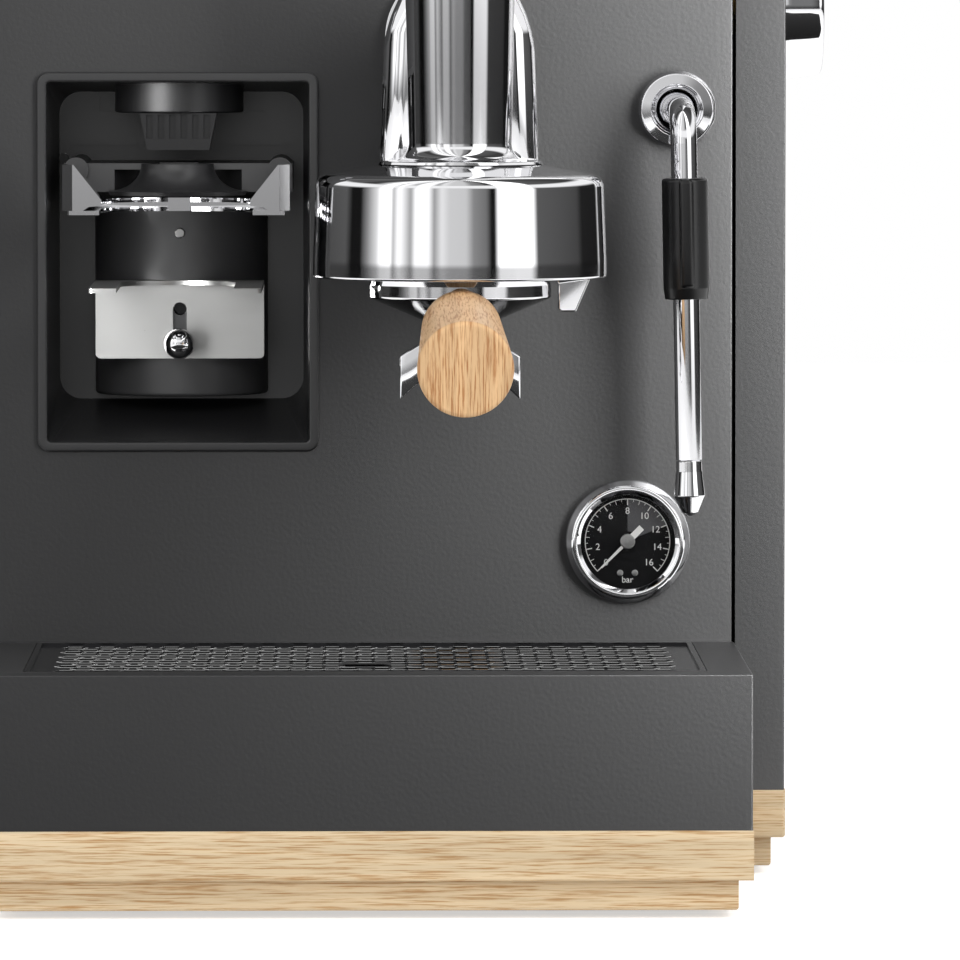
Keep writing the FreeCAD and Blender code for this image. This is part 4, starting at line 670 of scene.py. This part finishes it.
class ESPRESSO_OT_wand(bpy.types.Operator):
    """Bent steam tube on its ball, with grip, tip and the flange that holds the ball"""
    bl_idname = "espresso.wand"
    bl_label = "Steam wand"

    def execute(self, context):
        front = [(15.6, 0.0), (15.6, 5.4, 1.6), (14.4, 7.6, 0.6), (10.4, 8.0, 0.4), (9.6, 7.2, 0.5)]
        front += [(8.4, 6.2, 0.5), (8.2, 4.4), (11.0, 0.0)]
        flange_base = Vector((WAND_BALL.x, PANEL_Y * MM, WAND_BALL.z))
        flange = turned_piece(front, flange_base, (0, -1, 0), ring=True, steps=4)
        finish_piece(flange, "wand_flange_polished", "chrome", "machine",
                     replaced=["wand_flange"], smooth=35.0)
        tube = self.tube()
        finish_piece(tube, "wand_tube_polished", "chrome", "wand", replaced=["wand_tube"], smooth=40.0)
        grip = self.grip()
        finish_piece(grip, "wand_grip_moulded", "rubber", "wand", replaced=["wand_grip"], smooth=40.0)
        tip = self.set_on_ball(turned_piece(self.tip_outline(), (0, -WAND_REACH * MM, 0)))
        finish_piece(tip, "wand_tip_polished", "chrome", "wand", replaced=["wand_tip"], smooth=35.0)
        return {"FINISHED"}

    def set_on_ball(self, piece):
        """Pieces are made with the ball at the origin, then leaned, turned and moved to it."""
        return put(piece, WAND_BALL, (0, math.radians(-WAND_LEAN_DEG), math.radians(WAND_YAW_DEG)))

    def tube(self):
        """Circle drawn forward from the ball, spun through the bend and drawn down to the tip."""
        start, bend, radius, ball_radius = 4.0, 13.0, 5.3, 8.0
        straight = WAND_REACH - bend
        drop = WAND_BALL_Z - WAND_TIP_TOP_Z
        deselect()
        bpy.ops.mesh.primitive_circle_add(vertices=64, radius=radius * MM, location=(0, -start * MM, 0),
                                          rotation=(math.radians(90), 0, 0))
        tube = bpy.context.object
        apply_place(tube)
        bpy.ops.object.mode_set(mode="EDIT")
        bpy.ops.mesh.select_mode(type="VERT")
        bpy.ops.mesh.select_all(action="SELECT")
        bpy.ops.mesh.extrude_region_move(TRANSFORM_OT_translate={"value": (0, -(straight - start) * MM, 0)})
        bpy.ops.mesh.spin(steps=20, angle=math.radians(90), center=(0, -straight * MM, -bend * MM),
                          axis=(-1, 0, 0))
        bpy.ops.mesh.extrude_region_move(TRANSFORM_OT_translate={"value": (0, 0, -(drop - bend) * MM)})
        bpy.ops.mesh.select_all(action="SELECT")
        bpy.ops.mesh.fill_holes(sides=0)
        bpy.ops.mesh.normals_make_consistent(inside=False)
        bpy.ops.object.mode_set(mode="OBJECT")
        deselect()
        bpy.ops.mesh.primitive_uv_sphere_add(segments=48, ring_count=24, radius=ball_radius * MM)
        return self.set_on_ball(joined([tube, bpy.context.object]))

    def grip(self):
        """Rubber sleeve with a wide rounded rib down its front."""
        y = -WAND_REACH
        bore, outer = 5.4, 9.1
        top, bottom = 282.5 - WAND_BALL_Z, 233.7 - WAND_BALL_Z
        corners = [(bore, bottom + 6.0), (7.6, bottom + 1.0, 0.8), (8.4, bottom, 0.5)]
        corners += [(outer, bottom + 5.0, 4.0), (outer, top, 1.4), (bore, top)]
        sleeve = turned_piece(corners, (0, y * MM, 0), ring=True)
        rib = cube_piece((-3.0, y - 9.9, bottom + 5.0), (3.0, y - 4.0, top - 0.2))
        bevelled(rib, 1.9, 5)
        return self.set_on_ball(joined([sleeve, rib]))

    def tip_outline(self):
        """Radii and heights about the ball: widest near its lower end, then drawn in to the jets."""
        top, wide, bottom = WAND_TIP_TOP_Z - WAND_BALL_Z, 156.0 - WAND_BALL_Z, 148.0 - WAND_BALL_Z
        return [(4.6, top), (5.2, top - 0.6, 0.3), (5.3, top - 5.0, 8.0), (6.3, wide, 1.5),
                (3.4, bottom + 1.4, 1.2), (0.8, bottom)]


class ESPRESSO_OT_gauge(bpy.types.Operator):
    """Bezel, hub and printed scale of the pressure gauge"""
    bl_idname = "espresso.gauge"
    bl_label = "Pressure gauge"

    # Size that the font needs for a figure of height 1
    size_per_height = 1.35

    def execute(self, context):
        face = Vector((GAUGE.x, PANEL_Y * MM, GAUGE.z))
        corners = [(20.4, 0.0), (25.1, 0.0), (25.1, 4.2, 2.6), (22.4, 7.4, 1.2), (20.6, 7.4, 0.8)]
        corners += [(19.0, 6.2, 0.3), (19.0, 5.7), (20.4, 5.7)]
        bezel = turned_piece(corners, face, (0, -1, 0), ring=True)
        finish_piece(bezel, "bezel_polished", "chrome", "machine", replaced=["gauge_bezel"])
        hub = turned_piece([(3.0, 3.7), (3.0, 4.3, 0.4), (0.4, 4.4)], face, (0, -1, 0))
        finish_piece(hub, "needle_hub", "satin_steel", "needle")
        number_height = context.scene.espresso_sizes.number_height
        scale_radius, tick_end, number_radius = 16.9, 17.2, 12.2
        marks = [self.arc(scale_radius, 17.25, 0, SCALE_END)]
        for half in range(2 * SCALE_END + 1):
            value = 0.5 * half
            length = 2.6 if half % 4 == 0 else (1.9 if half % 2 == 0 else 1.2)
            width = 0.42 if half % 4 == 0 else 0.24
            marks.append(self.tick(value, tick_end - length, tick_end, width))
        for value in range(0, SCALE_END + 1, 2):
            marks.append(self.word(str(value), *self.spot(value, number_radius), number_height))
        marks.append(self.word("bar", 0, -15.6, 0.95 * number_height))
        self.print_on(joined(marks), "scale_print", "needle_white", 0.05)
        wedge = self.arc(4.0, scale_radius, 8, 12)
        self.print_on(wedge, "range_print", "dial_grey", 0.02)
        for name, side in (("left", -1), ("right", 1)):
            screw = turned_piece([(1.3, 1.2), (1.3, 1.7, 0.25), (0.3, 1.75)],
                                 face + Vector((side * 3.0 * MM, 0, -12.8 * MM)), (0, -1, 0))
            finish_piece(screw, "dial_screw_" + name, "satin_steel", "machine")
        return {"FINISHED"}

    def turn(self, value):
        """Angle of a pressure on the dial, clockwise from the top."""
        return math.radians(-135 + 270 * value / SCALE_END)

    def spot(self, value, radius):
        return radius * math.sin(self.turn(value)), radius * math.cos(self.turn(value))

    def arc(self, inner, outer, start, end):
        """A short line from one radius to the other, spun through the range."""
        x0, y0 = self.spot(start, inner)
        x1, y1 = self.spot(start, outer)
        deselect()
        bpy.ops.mesh.primitive_plane_add(size=1)
        piece = bpy.context.object
        bpy.ops.object.mode_set(mode="EDIT")
        bpy.ops.mesh.select_mode(type="VERT")
        bpy.ops.mesh.select_all(action="SELECT")
        bpy.ops.mesh.merge(type="CENTER")
        bpy.ops.transform.translate(value=(x0 * MM, y0 * MM, 0))
        bpy.ops.mesh.extrude_region_move(
            TRANSFORM_OT_translate={"value": ((x1 - x0) * MM, (y1 - y0) * MM, 0)})
        bpy.ops.mesh.select_all(action="SELECT")
        sweep = self.turn(end) - self.turn(start)
        bpy.ops.mesh.spin(steps=64, angle=sweep, center=(0, 0, 0), axis=(0, 0, 1))
        bpy.ops.object.mode_set(mode="OBJECT")
        return piece

    def tick(self, value, inner, outer, width):
        deselect()
        bpy.ops.mesh.primitive_plane_add(size=1)
        piece = bpy.context.object
        piece.scale = (width * MM, (outer - inner) * MM, 1)
        x, y = self.spot(value, 0.5 * (inner + outer))
        return put(piece, (x * MM, y * MM, 0), (0, 0, -self.turn(value)))

    def word(self, text, x, y, height):
        deselect()
        bpy.ops.object.text_add(location=(0, 0, 0))
        piece = bpy.context.object
        piece.data.body = text
        piece.data.size = self.size_per_height * height
        piece.data.align_x = "CENTER"
        piece.data.align_y = "CENTER"
        bpy.ops.object.convert(target="MESH")
        return put(piece, (x * MM, y * MM, 0))

    def print_on(self, piece, name, material, lift):
        """Flat print turned to face the user, just in front of the dial."""
        before_dial = (GAUGE.x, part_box("gauge_dial")[0].y - lift * MM, GAUGE.z)
        put(piece, before_dial, (math.radians(90), 0, 0))
        bpy.ops.object.mode_set(mode="EDIT")
        bpy.ops.mesh.select_all(action="SELECT")
        bpy.ops.mesh.normals_make_consistent(inside=False)
        bpy.ops.object.mode_set(mode="OBJECT")
        finish_piece(piece, name, material, "machine")


class ESPRESSO_OT_stage(bpy.types.Operator):
    """Floor, studio lamps, flags and the camera"""
    bl_idname = "espresso.stage"
    bl_label = "Stage"

    # Softboxes and flags round the machine: angle in degrees, 0 at the camera, and brightness
    boxes = [(-180, 0.15), (-143, 0.03), (-135, 0.22), (-126, 0.11), (-103, 0.12), (-96, 0.01), (-86, 0.01)]
    boxes += [(-79, 0.3), (-70, 0.9), (-66, 1.6), (-58, 1.8), (-55, 0.6), (-50, 1.5), (-40, 0.4), (-36, 1.4)]
    boxes += [(-26, 1.4), (-21, 0.4), (-15, 1.0), (-9, 0.75), (4, 0.72), (10, 0.3), (20, 0.2), (24, 0.01)]
    boxes += [(27, 0.01), (31, 2.2), (57, 2.4), (63, 0.12), (105, 0.08), (112, 0.02), (137, 0.02), (142, 1.6)]
    boxes += [(180, 0.15)]
    # Long box above the camera: sine of the height, and brightness
    overhead = [(0.0, 0.0), (0.16, 0.0), (0.28, 1.1), (0.5, 1.1), (0.6, 0.06), (1.0, 0.06)]
    # Brightness of the room, and of the paper beyond what the lamps give it
    room_light = 0.55
    paper_light = 0.55
    # Lamps: name, place, aim, width and height, power, and the nodes that a sheen lamp reaches alone
    bay = (-0.075, -0.05, 0.23)
    corner = (0.12, -0.06, 0.28)
    lamps = [
        ("key_right", (1.5, -1.4, 1.7), (0.1, -0.05, 0.25), (1.0, 1.2), 24, []),
        ("fill_front", (-0.7, -2.6, 1.3), (0, -0.1, 0.2), (1.6, 1.2), 24, []),
        ("top", (0.0, -0.2, 2.2), (0, 0, 0.2), (1.6, 1.6), 9, []),
        ("sheen_right", (0.44, -0.5, 0.44), corner, (0.22, 0.7), 26, ["front_panel", "drip_tray"]),
        ("sheen_side", (0.44, -0.5, 0.44), corner, (0.22, 0.7), 15, ["right_panel"]),
        ("sheen_plate", (-0.3, -0.36, 0.3), bay, (0.2, 0.5), 11, ["rest_fork"]),
        ("sheen_left", (-0.3, -0.36, 0.3), bay, (0.2, 0.5), 3, ["guide_fork", "chute_hood"]),
        ("sheen_bay", (-0.16, -0.6, 0.34), bay, (0.5, 0.4), 1.0, ["grinder_column", "dosing_funnel"]),
        ("sheen_liner", (-0.16, -0.6, 0.34), bay, (0.5, 0.4), 0.5, ["bay_liner"]),
    ]
    # Camera fitted to the photo: place in millimetres, way it looks and focal length
    camera_place = (-5.2, -3294.6, 353.4)
    camera_way = (0.0160, 1.0, -0.0598)
    camera_lens = 301.5

    def execute(self, context):
        scene = context.scene
        deselect()
        bpy.ops.mesh.primitive_plane_add(size=9, location=(0, 0, -0.0002))
        floor = context.object
        floor.name = "floor"
        floor.data.materials.append(self.paper())
        scene.world = self.room()
        self.flag((-0.7, -2.2), (0.8, -0.24))
        for name, place, aim, size, power, nodes in self.lamps:
            lamp = self.lamp(name, place, aim, size, power)
            if nodes:
                self.only_on(lamp, nodes)
        camera = bpy.data.objects.new("camera", bpy.data.cameras.new("camera"))
        scene.collection.objects.link(camera)
        camera.location = [v * MM for v in self.camera_place]
        camera.rotation_euler = Vector(self.camera_way).to_track_quat("-Z", "Y").to_euler()
        camera.data.sensor_width = 36.0
        camera.data.lens = self.camera_lens
        camera.data.clip_end = 60
        scene.camera = camera
        scene.view_settings.view_transform = "Standard"
        return {"FINISHED"}

    def paper(self):
        """White paper: seen as white, and greyer only where the machine's shadow lies on it."""
        material, tree, shader, _ = new_material("white_paper")
        shader.inputs["Base Color"].default_value = hex_colour("F4F4F4")
        shader.inputs["Roughness"].default_value = 0.9
        rays = add_node(tree, "ShaderNodeLightPath")
        seen = add_node(tree, "ShaderNodeMath", {"operation": "MAXIMUM"},
                        {0: rays.outputs["Is Camera Ray"], 1: rays.outputs["Is Glossy Ray"]})
        seen = add_node(tree, "ShaderNodeMath", {"operation": "MAXIMUM"},
                        {0: seen.outputs[0], 1: rays.outputs["Is Transmission Ray"]})
        lift = add_node(tree, "ShaderNodeMath", {"operation": "MULTIPLY", 1: self.paper_light},
                        {0: seen.outputs[0]})
        shader.inputs["Emission Color"].default_value = (1, 1, 1, 1)
        tree.links.new(lift.outputs[0], shader.inputs["Emission Strength"])
        return material

    def room(self):
        """White room for the eye. Polished metal sees the softboxes and black flags that stand round it."""
        world = bpy.data.worlds.new("studio")
        world.use_nodes = True
        tree = world.node_tree
        back = tree.nodes["Background"]
        rays = add_node(tree, "ShaderNodeLightPath")
        seen = add_node(tree, "ShaderNodeMath", {"operation": "MAXIMUM"},
                        {0: rays.outputs["Is Camera Ray"], 1: rays.outputs["Is Transmission Ray"]})
        plain = add_node(tree, "ShaderNodeMapRange", {"To Min": self.room_light, "To Max": 1.0},
                         {"Value": seen.outputs[0]})
        place = add_node(tree, "ShaderNodeTexCoord")
        way = add_node(tree, "ShaderNodeSeparateXYZ", {}, {0: place.outputs["Generated"]})
        front = add_node(tree, "ShaderNodeMath", {"operation": "MULTIPLY", 1: -1.0}, {0: way.outputs["Y"]})
        angle = add_node(tree, "ShaderNodeMath", {"operation": "ARCTAN2"},
                         {0: way.outputs["X"], 1: front.outputs[0]})
        turn = add_node(tree, "ShaderNodeMapRange", {"From Min": -math.pi, "From Max": math.pi},
                        {"Value": angle.outputs[0]})
        boxes = add_node(tree, "ShaderNodeValToRGB", {}, {"Fac": turn.outputs[0]})
        self.set_stops(boxes.color_ramp, self.boxes, -180.0, 180.0)
        height = add_node(tree, "ShaderNodeValToRGB", {}, {"Fac": way.outputs["Z"]})
        self.set_stops(height.color_ramp, self.overhead, 0.0, 1.0)
        above_floor = add_node(tree, "ShaderNodeMapRange",
                               {"From Min": -0.045, "From Max": 0.03, "To Min": 0.3},
                               {"Value": way.outputs["Z"]})
        lit = add_node(tree, "ShaderNodeMath", {"operation": "MULTIPLY"},
                       {0: boxes.outputs["Color"], 1: above_floor.outputs[0]})
        lit = add_node(tree, "ShaderNodeMath", {"operation": "MAXIMUM"},
                       {0: lit.outputs[0], 1: height.outputs["Color"]})
        lit = add_node(tree, "ShaderNodeMath", {"operation": "MULTIPLY", 1: BOX_POWER}, {0: lit.outputs[0]})
        glossy = rays.outputs["Is Glossy Ray"]
        strength = add_node(tree, "ShaderNodeMix", {"data_type": "FLOAT"},
                            {"Factor": glossy, "A": plain.outputs[0], "B": lit.outputs[0]})
        tree.links.new(strength.outputs[0], back.inputs["Strength"])
        back.inputs["Color"].default_value = (1, 1, 1, 1)
        return world

    def set_stops(self, ramp, stops, start, end):
        """Brightness at places between start and end, on a ramp."""
        ramp.elements[0].position = 0.0
        ramp.elements[1].position = 1.0
        for place, _ in stops[1:-1]:
            ramp.elements.new((place - start) / (end - start))
        for element, (_, bright) in zip(ramp.elements, stops):
            grey = bright / BOX_POWER
            element.color = (grey, grey, grey, 1)

    def flag(self, low, high):
        """Black cloth on the floor before the machine, seen only in its polished metal."""
        deselect()
        bpy.ops.mesh.primitive_plane_add(size=1)
        cloth = bpy.context.object
        cloth.name = "floor_flag"
        cloth.scale = (high[0] - low[0], high[1] - low[1], 1)
        cloth.location = (0.5 * (low[0] + high[0]), 0.5 * (low[1] + high[1]), 0.0005)
        apply_place(cloth)
        material, _, shader, _ = new_material("black_cloth")
        shader.inputs["Base Color"].default_value = hex_colour("0C0C0C")
        shader.inputs["Roughness"].default_value = 0.95
        cloth.data.materials.append(material)
        cloth.visible_camera = False
        cloth.visible_diffuse = False
        cloth.visible_shadow = False
        cloth.visible_transmission = False

    def only_on(self, lamp, nodes):
        """The lamp is seen only as a gloss on these nodes, as a small box with black screens round it."""
        reached = bpy.data.collections.new(lamp.name + "_reach")
        for node in nodes:
            reached.objects.link(frame["nodes"][node])
        lamp.light_linking.receiver_collection = reached
        lamp.visible_glossy = True
        lamp.visible_diffuse = False

    def lamp(self, name, place, aim, size, power):
        data = bpy.data.lights.new(name, "AREA")
        data.shape = "RECTANGLE"
        data.size, data.size_y = size
        data.energy = power
        lamp = bpy.data.objects.new(name, data)
        bpy.context.scene.collection.objects.link(lamp)
        lamp.location = place
        lamp.rotation_euler = (Vector(aim) - Vector(place)).to_track_quat("-Z", "Y").to_euler()
        lamp.visible_camera = False
        lamp.visible_glossy = False
        return lamp


class ESPRESSO_PT_pieces(bpy.types.Panel):
    """The pieces, in the order in which they are made"""
    bl_label = "Espresso machine"
    bl_idname = "ESPRESSO_PT_pieces"
    bl_space_type = "VIEW_3D"
    bl_region_type = "UI"
    bl_category = "Espresso"

    def draw(self, context):
        for settings in (context.scene.espresso_sizes, context.scene.espresso_colours):
            for key in settings.__annotations__:
                self.layout.prop(settings, key)
        for step in STEPS:
            self.layout.operator(step.bl_idname)


STEPS = [
    ESPRESSO_OT_finish_frame,
    ESPRESSO_OT_group_bell,
    ESPRESSO_OT_group_neck,
    ESPRESSO_OT_portafilter,
    ESPRESSO_OT_grate_rims,
    ESPRESSO_OT_wand,
    ESPRESSO_OT_gauge,
    ESPRESSO_OT_stage,
]
SETTINGS = [EspressoSizes, EspressoColours]


def register():
    for item in SETTINGS + STEPS + [ESPRESSO_PT_pieces]:
        bpy.utils.register_class(item)
    bpy.types.Scene.espresso_sizes = bpy.props.PointerProperty(type=EspressoSizes)
    bpy.types.Scene.espresso_colours = bpy.props.PointerProperty(type=EspressoColours)


def unregister():
    del bpy.types.Scene.espresso_colours
    del bpy.types.Scene.espresso_sizes
    for item in reversed(SETTINGS + STEPS + [ESPRESSO_PT_pieces]):
        bpy.utils.unregister_class(item)


def main():
    register()
    for step in STEPS:
        group, name = step.bl_idname.split(".")
        getattr(getattr(bpy.ops, group), name)()


if __name__ == "__main__":
    main()
